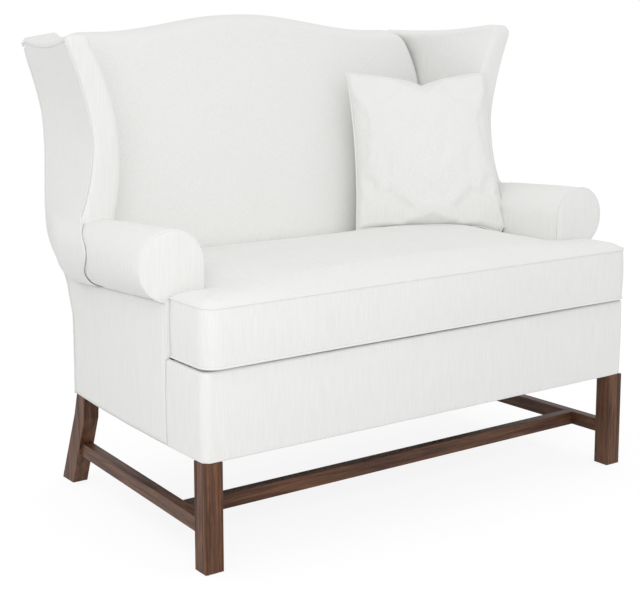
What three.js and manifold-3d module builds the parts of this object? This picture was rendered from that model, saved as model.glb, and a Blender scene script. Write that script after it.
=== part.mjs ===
// High back settee: a wooden seat frame on moulded front legs and raked rear legs, joined by an
// H stretcher, with rolled arms, flared wings, a camel back, a loose T cushion and a loose pillow.
// Millimetres, Z up. The front faces -Y, and x is measured from the centre line.
import * as THREE from 'three';
import { mergeVertices } from 'three/addons/utils/BufferGeometryUtils.js';
import Module from 'manifold-3d';

const wasm = await Module();
wasm.setup();

// Driving dimensions

const gap = 0.3;
const overrun = 5;

const base = { half_width: 597, depth: 628, bottom: 228, height: 185 };
const cover = { thickness: 7, proud: 0.8, corner_radius: 18, thin: 6 };
const leg = {
  side: 42, bead: 2.4, quirk_width: 2, quirk_depth: 1.5, reed_inset: 11.5, stub_chamfer: 11,
  rear_width: 37, post_inset: 8,
  knee_in: 40, knee_depth: 51, foot_depth: 56, rake_height: 172, rake_back: 68,
};
const stretcher = { bottom: 74, height: 32, thickness: 24, inset: 7.5, medial_front: 127, tenon: 12 };
const rail = { thickness: 25, lift: 12, drop: 33, tenon: 12, shoulder: 5, tenon_inset: 15 };
const block = { leg_length: 78, height: 60, drop: 30 };
const spring = { count: 5, spacing: 200, wire: 2, sweep: 26, waves: 9, bow: 11.5, lap: 12.5 };
const deck = { thickness: 15.7, edge: 10 };
const dust = { thickness: 1.2 };

const back = {
  recline: 0.32, bend_rise: 1, thickness: 100, foot_pad: 3.6, frame_depth: 40,
  post_drop: 77, rail_depth: 30, crown: 9, cap: 18, tail: 49.7, webbing: 2.5,
};
// The rear corners beside the half width of the base: drawn in at the foot and the waist, fuller
// behind the arm rolls
const corner = {
  foot_in: 19, hip_out: 3, hip_rise: 18, waist_in: 26, waist_rise: 260, top_in: 7, drop: 11,
};
const camel = { shoulder_rise: 649, rise: 42, half_length: 400 };
const crease = { inset: 4, swell: 17, turn_drop: 132, turn_in: 37 };
const crest = { depth: 127, end_depth: 77, end_drop: 14 };
const lower_rail = { lift: 16, height: 60 };
const stile = { half_width: 22, tenon: 12 };
const webbing = { strip: 50, columns: 7, column_spacing: 150, row_shares: [0.05, 0.386, 0.643, 0.9] };

const arm = {
  inset: 14, rise: 189, radius: 74, front: 141, pad: 22, roll_in: 60, fall_share: 0.3, flat_drop: 32,
  stump: 25, stump_drop: 80, tack_lift: 7, tack_height: 30, tack_width: 20,
  tenon_width: 16, tenon_height: 24, tenon_lap: 15,
};
const wing = {
  front_in: 160, waist_in: 12, waist_rise: 154, flare: 66, flare_power: 1.5, foot_flare: 29.1,
  body: 65, inner_rise: 114, inner_flare: 78, inner_foot_flare: 13.7, ear: 8, ear_bend: 14,
  dip: 7, drop_share: 0.35, pad: 20, edge: 19, edge_round: 6, post: 27, rail_height: 40,
  tenon: 24, tenon_half: 12, tenon_in: 10,
};

const cushion = {
  front: -12, side_clearance: 1, arm_clearance: 4, back_clearance: 12, lift: 0.3, corner: 34,
  welt_lift: 8, boxing: 120, crown: 26, soft_edge: 70, draw_in: 5, bulge: 3,
  columns: 8, corner_cells: 2, lobe_rows: 3, rows: 8,
};
const pillow = {
  half_width: 186, half_height: 203, half_thickness: 64, taper_share: 0.035, pinch: 0.055,
  cells: 12, fullness: 0.42, side_inset: 146, back_inset: 70, slump: 0.045, settle: 0.84,
  yaw: -30, lean: 18.5, turn: -0.8,
};

const colours = {
  mahogany: 0x5a3828, frame_wood: 0xc8a777, fabric: 0xeaeae8, steel: 0x8b8e91, jute: 0xa48a5e,
  cambric: 0x2c2c2e,
};

// Small maths

const mix = (a, b, t) => a + (b - a) * t;
const clamp = (v, lo, hi) => Math.min(hi, Math.max(lo, v));
const steps = (n) => Array.from({ length: n + 1 }, (_, i) => i / n);
const vec = (x, y, z) => new THREE.Vector3(x, y, z);

// Places that several pieces share

const ease = (share) => (1 - Math.cos(Math.PI * clamp(share, 0, 1))) / 2;
const baseTop = base.bottom + base.height;
const railBottom = base.bottom + rail.lift;
const railTop = baseTop - rail.drop;
const armCentre = base.half_width - arm.inset;
const armHeight = baseTop + arm.rise;
const armEnd = base.depth - arm.roll_in;
const wingFront = base.depth - wing.front_in;
const kneeFront = base.depth - leg.knee_in;
const armInner = armCentre - arm.radius;
const armTop = armHeight + arm.radius;
const armLip = -Math.acos(arm.inset / arm.radius);
const armLipHeight = armHeight + arm.radius * Math.sin(armLip);
const shoulder = baseTop + camel.shoulder_rise;
const bendHeight = baseTop + back.bend_rise;
const postTop = shoulder - back.post_drop;
const cornerFoot = base.half_width - corner.foot_in;
const rearLegOuter = cornerFoot - cover.thickness;
const cornerAt = (z) => {
  const hip = base.half_width + corner.hip_out;
  const high = armHeight + corner.hip_rise;
  const waist = base.half_width - corner.waist_in;
  const thin = high + corner.waist_rise;
  if (z < high) {
    return mix(cornerFoot, hip, ease((z - baseTop) / (high - baseTop)));
  }
  return z < thin
    ? mix(hip, waist, ease((z - high) / (thin - high)))
    : mix(waist, base.half_width - corner.top_in, ease((z - thin) / (shoulder - thin)));
};
const rearAt = (z) => base.depth + back.recline * Math.max(0, z - bendHeight);
const sideAt = (y, z = base.bottom) => {
  const share = clamp((y - arm.front) / (rearAt(z) - arm.front), 0, 1);
  return mix(base.half_width, cornerAt(z), share * share);
};
const postFrontAt = (z) => rearAt(z) - cover.thin - back.frame_depth;
// Upright behind the cushion, and reclined where the full padding reaches further forward
const backFrontAt = (z) => Math.max(base.depth - back.tail - back.foot_pad, rearAt(z) - back.thickness);
const camelAt = (x) => {
  const share = clamp(Math.abs(x) / camel.half_length, 0, 1);
  return shoulder + camel.rise * (1 + Math.cos(Math.PI * share)) / 2;
};
// Between the wing and the back: wider above the arms, and drawn in again towards the top
const creaseAt = (z) => {
  const turn = shoulder - crease.turn_drop;
  const share = Math.max(0, z - turn) / crease.turn_drop;
  const swell = crease.swell * ease((z - armTop) / (turn - armTop));
  return armInner - crease.inset + swell - crease.turn_in * share * share;
};
const wingShare = (y, z) => clamp((y - wingFront) / (rearAt(z) - wingFront), 0, 1);
const wingTopAt = (share) => {
  const fromFront = share * (rearAt(shoulder) - wingFront);
  const short = clamp(1 - fromFront / wing.ear_bend, 0, 1);
  const bend = wing.ear_bend * (1 - Math.sqrt(1 - short * short));
  return mix(shoulder + wing.ear, shoulder, share) - wing.dip * Math.sin(Math.PI * share) - bend;
};
// A flare that grows with the height above or below a waist
const flareAt = (z, rise, up, down, power) => {
  const waist = armTop + rise;
  return z > waist ? up * ((z - waist) / (shoulder - waist)) ** power : down * ((waist - z) / rise) ** 2;
};
const wingWaist = base.half_width - wing.waist_in;
const wingPanelAt = (y, z) => {
  const front = wingWaist + flareAt(z, wing.waist_rise, wing.flare, wing.foot_flare, wing.flare_power);
  return mix(front, cornerAt(z), wingShare(y, z));
};
// Behind the arm roll the wing's panel runs on down and becomes one with the outside arm.
const wingOuterAt = (y, z) => {
  const top = armTopAt(y);
  const share = (z - armLipHeight) / (top - armLipHeight);
  return z >= top ? wingPanelAt(y, z) : mix(sideAt(y, z), wingPanelAt(y, top), ease(share));
};
const wingInnerAt = (y, z) => {
  const flare = flareAt(z, wing.inner_rise, wing.inner_flare, wing.inner_foot_flare, 2);
  return mix(wingWaist - wing.body + flare, creaseAt(z), wingShare(y, z));
};
// The upper half of an arm roll is lower towards the rear.
const rollStart = arm.front + cover.thickness + gap + arm.stump;
const fallenHeight = (y, z) => {
  const share = clamp((y - rollStart) / (armEnd - rollStart), 0, 1);
  return z > armHeight ? armHeight + (z - armHeight) * (1 - arm.fall_share * share) : z;
};
const armTopAt = (y) => fallenHeight(y, armTop);
const coverInner = cover.thickness - cover.proud;
const railFront = coverInner + gap;
const railOuterAt = (y) => {
  const share = clamp((y - leg.side) / (base.depth - leg.side), 0, 1);
  return mix(base.half_width, cornerFoot, share) - railFront;
};
const sideCoverStart = arm.front + cover.thickness + gap;
const legInner = base.half_width - leg.side;
const postInner = rearLegOuter - leg.rear_width;
const postOuter = rearLegOuter - leg.post_inset;
const deckTop = baseTop - gap;
const seatBack = backFrontAt(baseTop) - cushion.back_clearance;
const lowerRailBottom = bendHeight + lower_rail.lift;
const blockBottom = railTop - block.drop - block.height;
const crestBottom = shoulder - crest.depth;
const crestEndBottom = shoulder - crest.end_depth;

// Solids from rings, grids and outlines

function solidFrom(points, faces) {
  const geometry = new THREE.BufferGeometry();
  geometry.setAttribute('position', new THREE.Float32BufferAttribute(points.flatMap((p) => p.toArray()), 3));
  let volume = 0;
  for (const [a, b, c] of faces) {
    volume += points[a].dot(points[b].clone().cross(points[c]));
  }
  const order = volume > 0 ? faces : faces.map(([a, b, c]) => [a, c, b]);
  geometry.setIndex(order.flat());
  return geometry;
}

// A solid through rings of equal length, closed at both ends. flat turns a point into the plane
// in which the end faces are filled. Where matched is given, that many steps from the start of a
// ring are joined straight across to its end, so that a curved end face keeps its curve.
function loft(rings, flat, matched = 0) {
  const points = rings.flat();
  const count = rings[0].length;
  const faces = [];
  for (let r = 0; r + 1 < rings.length; r += 1) {
    for (let i = 0; i < count; i += 1) {
      const a = r * count + i;
      const b = r * count + (i + 1) % count;
      faces.push([a, b, b + count], [a, b + count, a + count]);
    }
  }
  const fill = (ring, start) => {
    const middle = ring.slice(matched, count - matched).map(flat);
    for (const face of THREE.ShapeUtils.triangulateShape(middle, [])) {
      faces.push(face.map((i) => i + matched + start).sort((a, b) => a - b));
    }
    for (let k = 0; k < matched; k += 1) {
      const [a, b] = [start + k, start + count - 1 - k];
      faces.push([a, a + 1, b - 1], [a, b - 1, b]);
    }
  };
  fill(rings[0], 0);
  fill(rings[rings.length - 1], points.length - count);
  return alignEnds(points, faces, count, rings.length);
}

// The end faces are turned to agree with the walls that they meet.
function alignEnds(points, faces, count, ringCount) {
  const edges = new Set();
  const walls = 2 * count * (ringCount - 1);
  for (const [a, b, c] of faces.slice(0, walls)) {
    edges.add(`${a}_${b}`).add(`${b}_${c}`).add(`${c}_${a}`);
  }
  const caps = faces.slice(walls);
  const ends = [caps.filter((f) => f[0] < count), caps.filter((f) => f[0] >= count)];
  const turned = ends.flatMap((group) => {
    const clash = group.some(([a, b, c]) =>
      edges.has(`${a}_${b}`) || edges.has(`${b}_${c}`) || edges.has(`${c}_${a}`));
    return clash ? group.map(([a, b, c]) => [a, c, b]) : group;
  });
  return solidFrom(points, faces.slice(0, walls).concat(turned));
}

// A sheet with thickness: two matching grids of points, joined round their edges.
function slab(columns, rows, outer, inner) {
  const us = steps(columns);
  const vs = steps(rows);
  const points = [outer, inner].flatMap((side) => vs.flatMap((v) => us.map((u) => side(u, v))));
  const half = us.length * vs.length;
  const at = (i, j, layer) => layer * half + j * us.length + i;
  const faces = [];
  for (let j = 0; j < rows; j += 1) {
    for (let i = 0; i < columns; i += 1) {
      faces.push([at(i, j, 0), at(i + 1, j, 0), at(i + 1, j + 1, 0)]);
      faces.push([at(i, j, 0), at(i + 1, j + 1, 0), at(i, j + 1, 0)]);
      faces.push([at(i, j, 1), at(i + 1, j + 1, 1), at(i + 1, j, 1)]);
      faces.push([at(i, j, 1), at(i, j + 1, 1), at(i + 1, j + 1, 1)]);
    }
  }
  const wall = (a, b) => {
    faces.push([b, a, a + half], [b, a + half, b + half]);
  };
  for (let i = 0; i < columns; i += 1) {
    wall(at(i, 0, 0), at(i + 1, 0, 0));
    wall(at(i + 1, rows, 0), at(i, rows, 0));
  }
  for (let j = 0; j < rows; j += 1) {
    wall(at(columns, j, 0), at(columns, j + 1, 0));
    wall(at(0, j + 1, 0), at(0, j, 0));
  }
  return solidFrom(points, faces);
}

function box(x0, x1, y0, y1, z0, z1) {
  const geometry = new THREE.BoxGeometry(x1 - x0, y1 - y0, z1 - z0);
  return geometry.translate((x0 + x1) / 2, (y0 + y1) / 2, (z0 + z1) / 2);
}

function outlineOf(points) {
  return new THREE.Shape(points.map(([x, y]) => new THREE.Vector2(x, y)));
}

// An outline in plan, raised from one height to another.
function prism(shape, bottom, top, segments = 12) {
  const geometry = new THREE.ExtrudeGeometry(shape, {
    depth: top - bottom, bevelEnabled: false, curveSegments: segments,
  });
  return geometry.translate(0, 0, bottom);
}

// An outline seen from the front, from one depth to another.
function frontPlate(shape, front, rear, segments = 12) {
  const geometry = new THREE.ExtrudeGeometry(shape, {
    depth: rear - front, bevelEnabled: false, curveSegments: segments,
  });
  return geometry.rotateX(Math.PI / 2).translate(0, rear, 0);
}

// An outline seen from the side, its x as depth and its y as height, across a width.
function sidePlate(shape, inner, outer) {
  const geometry = new THREE.ExtrudeGeometry(shape, { depth: outer - inner, bevelEnabled: false });
  return geometry.rotateX(Math.PI / 2).rotateZ(Math.PI / 2).translate(inner, 0, 0);
}

// A straight bar between two four sided ends.
function bar(startCorners, endCorners, flat) {
  return loft([startCorners, endCorners], flat);
}

const flatXZ = (p) => new THREE.Vector2(p.x, p.z);
const flatYZ = (p) => new THREE.Vector2(p.y, p.z);
const flatXY = (p) => new THREE.Vector2(p.x, p.y);

function rectangleXZ(x0, x1, z0, z1, depthAt) {
  return [[x0, z0], [x1, z0], [x1, z1], [x0, z1]].map(([x, z]) => vec(x, depthAt(x, z), z));
}

function toManifold(geometry) {
  const bare = geometry.clone();
  bare.deleteAttribute('normal');
  bare.deleteAttribute('uv');
  const merged = mergeVertices(bare, gap / 100);
  return new wasm.Manifold(new wasm.Mesh({
    numProp: 3,
    vertProperties: new Float32Array(merged.attributes.position.array),
    triVerts: new Uint32Array(merged.index.array),
  }));
}

function toGeometry(solid) {
  const mesh = solid.getMesh();
  const geometry = new THREE.BufferGeometry();
  geometry.setAttribute('position', new THREE.BufferAttribute(new Float32Array(mesh.vertProperties), 3));
  geometry.setIndex(new THREE.BufferAttribute(new Uint32Array(mesh.triVerts), 1));
  return geometry;
}

function carve(body, { add = [], cut = [] }) {
  let solid = toManifold(body);
  for (const piece of add) {
    solid = solid.add(toManifold(piece));
  }
  for (const piece of cut) {
    solid = solid.subtract(toManifold(piece));
  }
  return toGeometry(solid);
}

// The left hand piece is the right hand one reflected, with its faces turned out again.
function mirrored(geometry) {
  const turned = (geometry.index ? geometry.clone() : mergeVertices(bareCopy(geometry), gap / 100));
  turned.scale(-1, 1, 1);
  const index = turned.index.array;
  for (let i = 0; i < index.length; i += 3) {
    [index[i], index[i + 1]] = [index[i + 1], index[i]];
  }
  return turned;
}

function bareCopy(geometry) {
  const bare = geometry.clone();
  bare.deleteAttribute('normal');
  bare.deleteAttribute('uv');
  return bare;
}

const settee = new THREE.Group();

function place(name, geometry, colour, roughness = 0.8, metalness = 0) {
  geometry.computeVertexNormals();
  const material = new THREE.MeshStandardMaterial({ color: colour, roughness, metalness });
  const mesh = new THREE.Mesh(geometry, material);
  mesh.name = name;
  settee.add(mesh);
}

function placePair(name, right, colour, roughness) {
  place(`${name}_right`, right, colour, roughness);
  place(`${name}_left`, mirrored(right), colour, roughness);
}

// Front legs: square, with a bead at each corner of the two show faces and a reed beside it

function mouldedFace(length) {
  const { bead, quirk_width: width, quirk_depth: depth, reed_inset: inset } = leg;
  const groove = (start) => [[start, 0], [start + width / 2, depth], [start + width, 0]];
  const first = [...groove(bead), ...groove(inset - width)];
  const last = first.map(([x, y]) => [length - x, y]).reverse();
  return [...first, ...last];
}

function frontLeg() {
  const outer = base.half_width;
  const front = mouldedFace(leg.side).map(([x, y]) => [legInner + x, y]);
  const side = mouldedFace(leg.side).map(([x, y]) => [outer - y, x]);
  const section = outlineOf([
    [legInner, 0], ...front, [outer, 0], ...side, [outer, leg.side], [legInner, leg.side],
  ]);
  const stubOuter = railOuterAt(0);
  const stubShape = outlineOf([
    [legInner, railFront], [stubOuter - leg.stub_chamfer, railFront],
    [stubOuter, railFront + leg.stub_chamfer], [stubOuter, leg.side], [legInner, leg.side],
  ]);
  const stub = prism(stubShape, base.bottom - overrun, railTop);
  const mortises = [
    grow(frontRailTenon()), grow(sideRailTenonFront()), grow(sideStretcherTenonFront()),
  ];
  return carve(prism(section, 0, base.bottom), { add: [stub], cut: mortises });
}

// Every mortise is its tenon with the clearance added all round.
function grow(geometry) {
  const copy = geometry.clone();
  copy.computeBoundingBox();
  const centre = copy.boundingBox.getCenter(vec(0, 0, 0));
  const size = copy.boundingBox.getSize(vec(0, 0, 0));
  const factor = (length) => (length + 2 * gap) / length;
  copy.translate(-centre.x, -centre.y, -centre.z);
  copy.scale(factor(size.x), factor(size.y), factor(size.z));
  return copy.translate(centre.x, centre.y, centre.z);
}

// Rear legs: raked below the seat, upright in it and reclined above, in one piece with the posts

const rearLegFrontAt = (z) => kneeFront + leg.rake_back * Math.max(0, 1 - z / leg.rake_height);

function rearLeg() {
  const postFront = postFrontAt(base.bottom);
  const postRear = base.depth - cover.thin;
  const knee = rearLegFrontAt(leg.rake_height);
  const foot = rearLegFrontAt(0);
  const low = outlineOf([
    [foot, 0],
    [foot + leg.foot_depth, 0],
    [knee + leg.knee_depth, leg.rake_height],
    [postRear, base.bottom],
    [postRear, railTop],
    [postFront, railTop],
    [postFront, base.bottom],
    [knee, leg.rake_height],
  ]);
  const high = outlineOf([
    [postFront, railTop - overrun],
    [postRear, railTop - overrun],
    [postRear, bendHeight],
    [rearAt(postTop) - cover.thin, postTop],
    [postFrontAt(postTop), postTop],
    [postFront, bendHeight],
  ]);
  const body = sidePlate(low, postInner, rearLegOuter);
  const post = sidePlate(high, postInner, postOuter);
  const cuts = [
    sideStretcherTenonRear(), sideRailTenonRear(), rearRailTenon(), lowerBackRailTenon(), armRailTenon(),
  ].map(grow);
  return carve(body, { add: [post], cut: cuts });
}

// H stretcher

const stretcherTop = stretcher.bottom + stretcher.height;
const sideStretcherOuterAt = (y) => {
  const share = (y - leg.side) / (rearLegFrontAt(stretcher.bottom) - leg.side);
  return mix(base.half_width, rearLegOuter, share) - stretcher.inset;
};

function stretcherEnd(y0At, inset) {
  const outer = (y) => sideStretcherOuterAt(y) - inset;
  const inner = (y) => sideStretcherOuterAt(y) - stretcher.thickness + inset;
  const low = stretcher.bottom + inset;
  const high = stretcherTop - inset;
  return [
    vec(inner(y0At(low)), y0At(low), low), vec(outer(y0At(low)), y0At(low), low),
    vec(outer(y0At(high)), y0At(high), high), vec(inner(y0At(high)), y0At(high), high),
  ];
}

function sideStretcherTenonFront() {
  const start = () => leg.side - stretcher.tenon;
  const end = () => leg.side + overrun;
  return bar(stretcherEnd(start, rail.shoulder), stretcherEnd(end, rail.shoulder), flatXZ);
}

function sideStretcherTenonRear() {
  const start = (z) => rearLegFrontAt(z) - overrun;
  const end = (z) => rearLegFrontAt(z) + stretcher.tenon;
  return bar(stretcherEnd(start, rail.shoulder), stretcherEnd(end, rail.shoulder), flatXZ);
}

function sideStretcher() {
  const start = () => leg.side + gap;
  const end = (z) => rearLegFrontAt(z) - gap;
  return carve(bar(stretcherEnd(start, 0), stretcherEnd(end, 0), flatXZ), {
    add: [sideStretcherTenonFront(), sideStretcherTenonRear()],
    cut: [grow(medialTenon())],
  });
}

const medialRear = stretcher.medial_front + stretcher.thickness;

function medialEnd(lengthAt, inset) {
  const front = stretcher.medial_front + inset;
  const rear = medialRear - inset;
  const low = stretcher.bottom + inset;
  const high = stretcherTop - inset;
  return [[front, low], [rear, low], [rear, high], [front, high]].map(([y, z]) => vec(lengthAt(y), y, z));
}

const medialShoulderAt = (y) => sideStretcherOuterAt(y) - stretcher.thickness;

function medialTenon() {
  const start = (y) => medialShoulderAt(y) - overrun;
  const end = (y) => medialShoulderAt(y) + stretcher.tenon;
  return bar(medialEnd(start, rail.shoulder), medialEnd(end, rail.shoulder), flatYZ);
}

function medialStretcher() {
  const right = (y) => medialShoulderAt(y) - gap;
  const left = (y) => gap - medialShoulderAt(y);
  const body = bar(medialEnd(left, 0), medialEnd(right, 0), flatYZ);
  return carve(body, { add: [medialTenon(), mirrored(medialTenon())] });
}

// Seat frame

function frontRailTenon() {
  const front = railFront + rail.shoulder;
  const rear = railFront + rail.thickness - rail.shoulder;
  const low = railBottom + rail.tenon_inset;
  const high = railTop - rail.tenon_inset;
  return box(legInner - overrun, legInner + rail.tenon, front, rear, low, high);
}

function frontRail() {
  const end = legInner - gap;
  const body = box(-end, end, railFront, railFront + rail.thickness, railBottom, railTop);
  return carve(body, { add: [frontRailTenon(), mirrored(frontRailTenon())] });
}

const rearRailFront = base.depth - cover.thin - back.frame_depth + rail.shoulder;

function rearRailTenon() {
  const front = rearRailFront + rail.shoulder + rail.tenon;
  const rear = rearRailFront + rail.thickness;
  const low = railBottom + rail.tenon_inset;
  const high = railTop - rail.tenon_inset;
  return box(postInner - overrun, postInner + rail.tenon, front, rear - gap, low, high);
}

function rearRail() {
  const end = postInner - gap;
  const body = box(-end, end, rearRailFront, rearRailFront + rail.thickness, railBottom, railTop);
  return carve(body, { add: [rearRailTenon(), mirrored(rearRailTenon())] });
}

function sideRailEnd(y, inset) {
  const outer = railOuterAt(y) - inset;
  const inner = railOuterAt(y) - rail.thickness + inset;
  const trim = inset > 0 ? rail.tenon_inset : 0;
  return rectangleXZ(inner, outer, railBottom + trim, railTop - trim, () => y);
}

function sideRailTenonFront() {
  const end = sideRailEnd(leg.side - rail.tenon, rail.shoulder);
  return bar(end, sideRailEnd(leg.side + overrun, rail.shoulder), flatXZ);
}

function sideRailTenonRear() {
  const post = postFrontAt(railBottom);
  const end = sideRailEnd(post + rail.tenon, rail.shoulder);
  return bar(sideRailEnd(post - overrun, rail.shoulder), end, flatXZ);
}

function sideRail() {
  const body = bar(sideRailEnd(leg.side + gap, 0), sideRailEnd(postFrontAt(railBottom) - gap, 0), flatXZ);
  return carve(body, { add: [sideRailTenonFront(), sideRailTenonRear()] });
}

function frontCornerBlock() {
  const front = railFront + rail.thickness + gap;
  const legSide = legInner - gap;
  const legBack = leg.side + gap;
  const reach = legBack + block.leg_length;
  const railSide = (y) => railOuterAt(y) - rail.thickness - gap;
  const shape = outlineOf([
    [legSide - block.leg_length, front], [legSide, front], [legSide, legBack],
    [railSide(legBack), legBack], [railSide(reach), reach],
  ]);
  return prism(shape, blockBottom, blockBottom + block.height);
}

function rearCornerBlock() {
  const rear = rearRailFront - gap;
  const post = postFrontAt(railBottom) - gap;
  const postSide = postInner - gap;
  const reach = post - block.leg_length;
  const railSide = (y) => railOuterAt(y) - rail.thickness - gap;
  const shape = outlineOf([
    [postSide - block.leg_length, rear], [railSide(reach), reach], [railSide(post), post],
    [postSide, post], [postSide, rear],
  ]);
  return prism(shape, blockBottom, blockBottom + block.height);
}

// Sinuous springs, bowed up between the front and rear rails

function seatSpring(x) {
  const front = railFront + rail.thickness - spring.lap;
  const rear = rearRailFront + spring.lap;
  const rest = railTop + gap + spring.wire;
  const turns = 2 * spring.waves;
  const points = steps(2 * turns).map((share) => {
    const swing = Math.sin(share * turns * Math.PI) * Math.min(1, 4 * share, 4 * (1 - share));
    const z = rest + spring.bow * Math.sin(Math.PI * share);
    return vec(x + spring.sweep * swing, mix(front, rear, share), z);
  });
  const wire = new THREE.Shape().absarc(0, 0, spring.wire, 0, 2 * Math.PI);
  return new THREE.ExtrudeGeometry(wire, {
    steps: 3 * turns, curveSegments: 3, bevelEnabled: false,
    extrudePath: new THREE.CatmullRomCurve3(points),
  });
}

function seatDeck() {
  const lobe = railOuterAt(arm.front);
  const bend = cover.corner_radius;
  const front = railFront;
  const step = arm.front - gap;
  const waist = armInner - gap;
  const rear = rearRailFront + rail.thickness;
  const shape = outlineOf([
    [bend - lobe, front], [lobe - bend, front], [lobe, front + bend], [lobe, step],
    [waist, step], [waist, rear], [-waist, rear], [-waist, step], [-lobe, step], [-lobe, front + bend],
  ]);
  const bottom = deckTop - deck.thickness;
  const seat = railTop + gap;
  const frontEdge = box(bend - lobe, lobe - bend, front, front + deck.edge, seat, bottom + overrun);
  const rearEdge = box(-waist, waist, rear - deck.edge, rear, seat, bottom + overrun);
  return carve(prism(shape, bottom, deckTop), { add: [frontEdge, rearEdge] });
}

function dustCover() {
  const top = railBottom - gap;
  const legSide = legInner - 2 * gap;
  const legBack = leg.side + 2 * gap;
  const postFront = postFrontAt(railBottom) - 2 * gap;
  const postSide = postInner - 2 * gap;
  const rear = rearRailFront + rail.thickness;
  const right = [
    [legSide, railFront], [legSide, legBack], [railOuterAt(legBack), legBack],
    [railOuterAt(postFront), postFront], [postSide, postFront], [postSide, rear],
  ];
  const left = right.map(([x, y]) => [-x, y]).reverse();
  return prism(outlineOf([...right, ...left]), top - dust.thickness, top);
}

// Covers of the base

function frontBorder() {
  const outer = base.half_width + cover.proud;
  const front = -cover.proud;
  const end = sideCoverStart - gap;
  const bend = cover.corner_radius;
  const inner = outer - cover.thickness;
  const innerFront = front + cover.thickness;
  const innerBend = bend - cover.thickness;
  const shape = new THREE.Shape();
  shape.moveTo(-outer, end);
  shape.lineTo(-outer, front + bend);
  shape.absarc(bend - outer, front + bend, bend, Math.PI, 1.5 * Math.PI);
  shape.absarc(outer - bend, front + bend, bend, 1.5 * Math.PI, 2 * Math.PI);
  shape.lineTo(outer, end);
  shape.lineTo(inner, end);
  shape.absarc(inner - innerBend, innerFront + innerBend, innerBend, 0, -0.5 * Math.PI, true);
  shape.absarc(innerBend - inner, innerFront + innerBend, innerBend, 1.5 * Math.PI, Math.PI, true);
  shape.lineTo(-inner, end);
  return prism(shape, base.bottom + gap, baseTop, 5);
}

function outsideArm() {
  const top = armLipHeight - gap;
  const surface = (inset) => (u, v) => {
    const z = mix(base.bottom + gap, top, v);
    const y = mix(sideCoverStart, rearAt(z) - cover.thin - 2 * gap, u);
    return vec(sideAt(y, z) + cover.proud - inset, y, z);
  };
  return slab(8, 8, surface(0), surface(cover.thickness));
}

// Arms

function scrollShape(radius, innerEdge, outerEdge, bottom) {
  const shape = new THREE.Shape();
  const reach = outerEdge - armCentre;
  const lip = -Math.acos(reach / radius);
  shape.moveTo(innerEdge, bottom);
  shape.lineTo(outerEdge, bottom);
  shape.lineTo(outerEdge, armHeight + radius * Math.sin(lip));
  shape.absarc(armCentre, armHeight, radius, lip, Math.PI);
  return shape;
}

function armFront() {
  const shape = scrollShape(arm.radius, armInner, base.half_width, baseTop + gap);
  return frontPlate(shape, arm.front, arm.front + cover.thickness, 16);
}

const stumpFront = sideCoverStart;
const stumpRear = rollStart;
const coreRadius = arm.radius - arm.pad - 4 * gap;

function fallen(geometry) {
  const place3 = geometry.attributes.position;
  for (let i = 0; i < place3.count; i += 1) {
    place3.setZ(i, fallenHeight(place3.getY(i), place3.getZ(i)));
  }
  return geometry;
}

// The inside arm and its roll: a thick strip that runs down the inside, over the top and round to
// the lip under the roll
function armPad() {
  const bottom = baseTop + gap;
  const inner = arm.radius - arm.pad;
  const heights = [bottom, mix(bottom, armHeight, 0.5)];
  const arc = (radius) => steps(18).map((share) => {
    const angle = mix(Math.PI, armLip, share);
    return [armCentre + radius * Math.cos(angle), armHeight + radius * Math.sin(angle)];
  });
  const outline = [
    ...heights.map((z) => [armInner, z]), ...arc(arm.radius),
    ...arc(inner).reverse(), ...heights.map((z) => [armInner + arm.pad, z]).reverse(),
  ];
  const ring = (depthAt) => outline.map(([x, z]) => vec(x, depthAt(z), z));
  const body = fallen(loft([ring(() => stumpFront), ring(() => stumpRear), ring(() => armEnd)], flatXZ));
  const disc = new THREE.Shape().absarc(armCentre, armHeight, arm.radius - 4 * gap, 0, 2 * Math.PI);
  const rearDisc = fallen(frontPlate(disc, armEnd - cover.thickness, armEnd, 20));
  return carve(body, { add: [rearDisc], cut: [grow(wingTenon()), grow(armRailTenon())] });
}

function armStump() {
  const inner = armInner + arm.pad + gap;
  const outer = railOuterAt(stumpRear) - gap;
  const top = scrollShape(coreRadius, inner, Math.min(outer, armCentre + coreRadius - gap), railTop + gap);
  const lap = railOuterAt(stumpRear) - rail.thickness - 2 * gap;
  const foot = box(inner, lap, stumpFront, stumpRear, railTop - arm.stump_drop, railTop + overrun);
  return carve(frontPlate(top, stumpFront, stumpRear, 12), { add: [foot] });
}

function armRailTenon() {
  const half = arm.tenon_width / 2;
  const centre = (postInner + postOuter) / 2;
  const low = armHeight - arm.tenon_height / 2;
  const high = armHeight + arm.tenon_height / 2;
  const ring = (depthAt) => rectangleXZ(centre - half, centre + half, low, high, (x, z) => depthAt(z));
  const start = () => armEnd - cover.thickness - overrun;
  const end = (z) => postFrontAt(z) + arm.tenon_lap;
  return bar(ring(start), ring(end), flatXZ);
}

function armRail() {
  const start = -Math.asin(arm.flat_drop / coreRadius);
  const shape = new THREE.Shape();
  shape.absarc(armCentre, armHeight, coreRadius, start, Math.PI - start);
  const body = fallen(frontPlate(shape, stumpRear + gap, armEnd - cover.thickness - gap, 20));
  return carve(body, { add: [armRailTenon()], cut: [grow(wingTenon())] });
}

function armTackRail() {
  const inner = armInner + arm.pad + gap;
  const outer = inner + arm.tack_width;
  const low = baseTop + arm.tack_lift;
  const high = low + arm.tack_height;
  const start = rectangleXZ(inner, outer, low, high, () => stumpRear + gap);
  const end = rectangleXZ(inner, outer, low, high, () => armEnd);
  return bar(start, end, flatXZ);
}

// Wings

const wingHeights = steps(12);
const wingEdgeRear = wingFront + wing.edge;
const wingFoot = armTopAt(wingEdgeRear) + 2 * gap;

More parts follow.
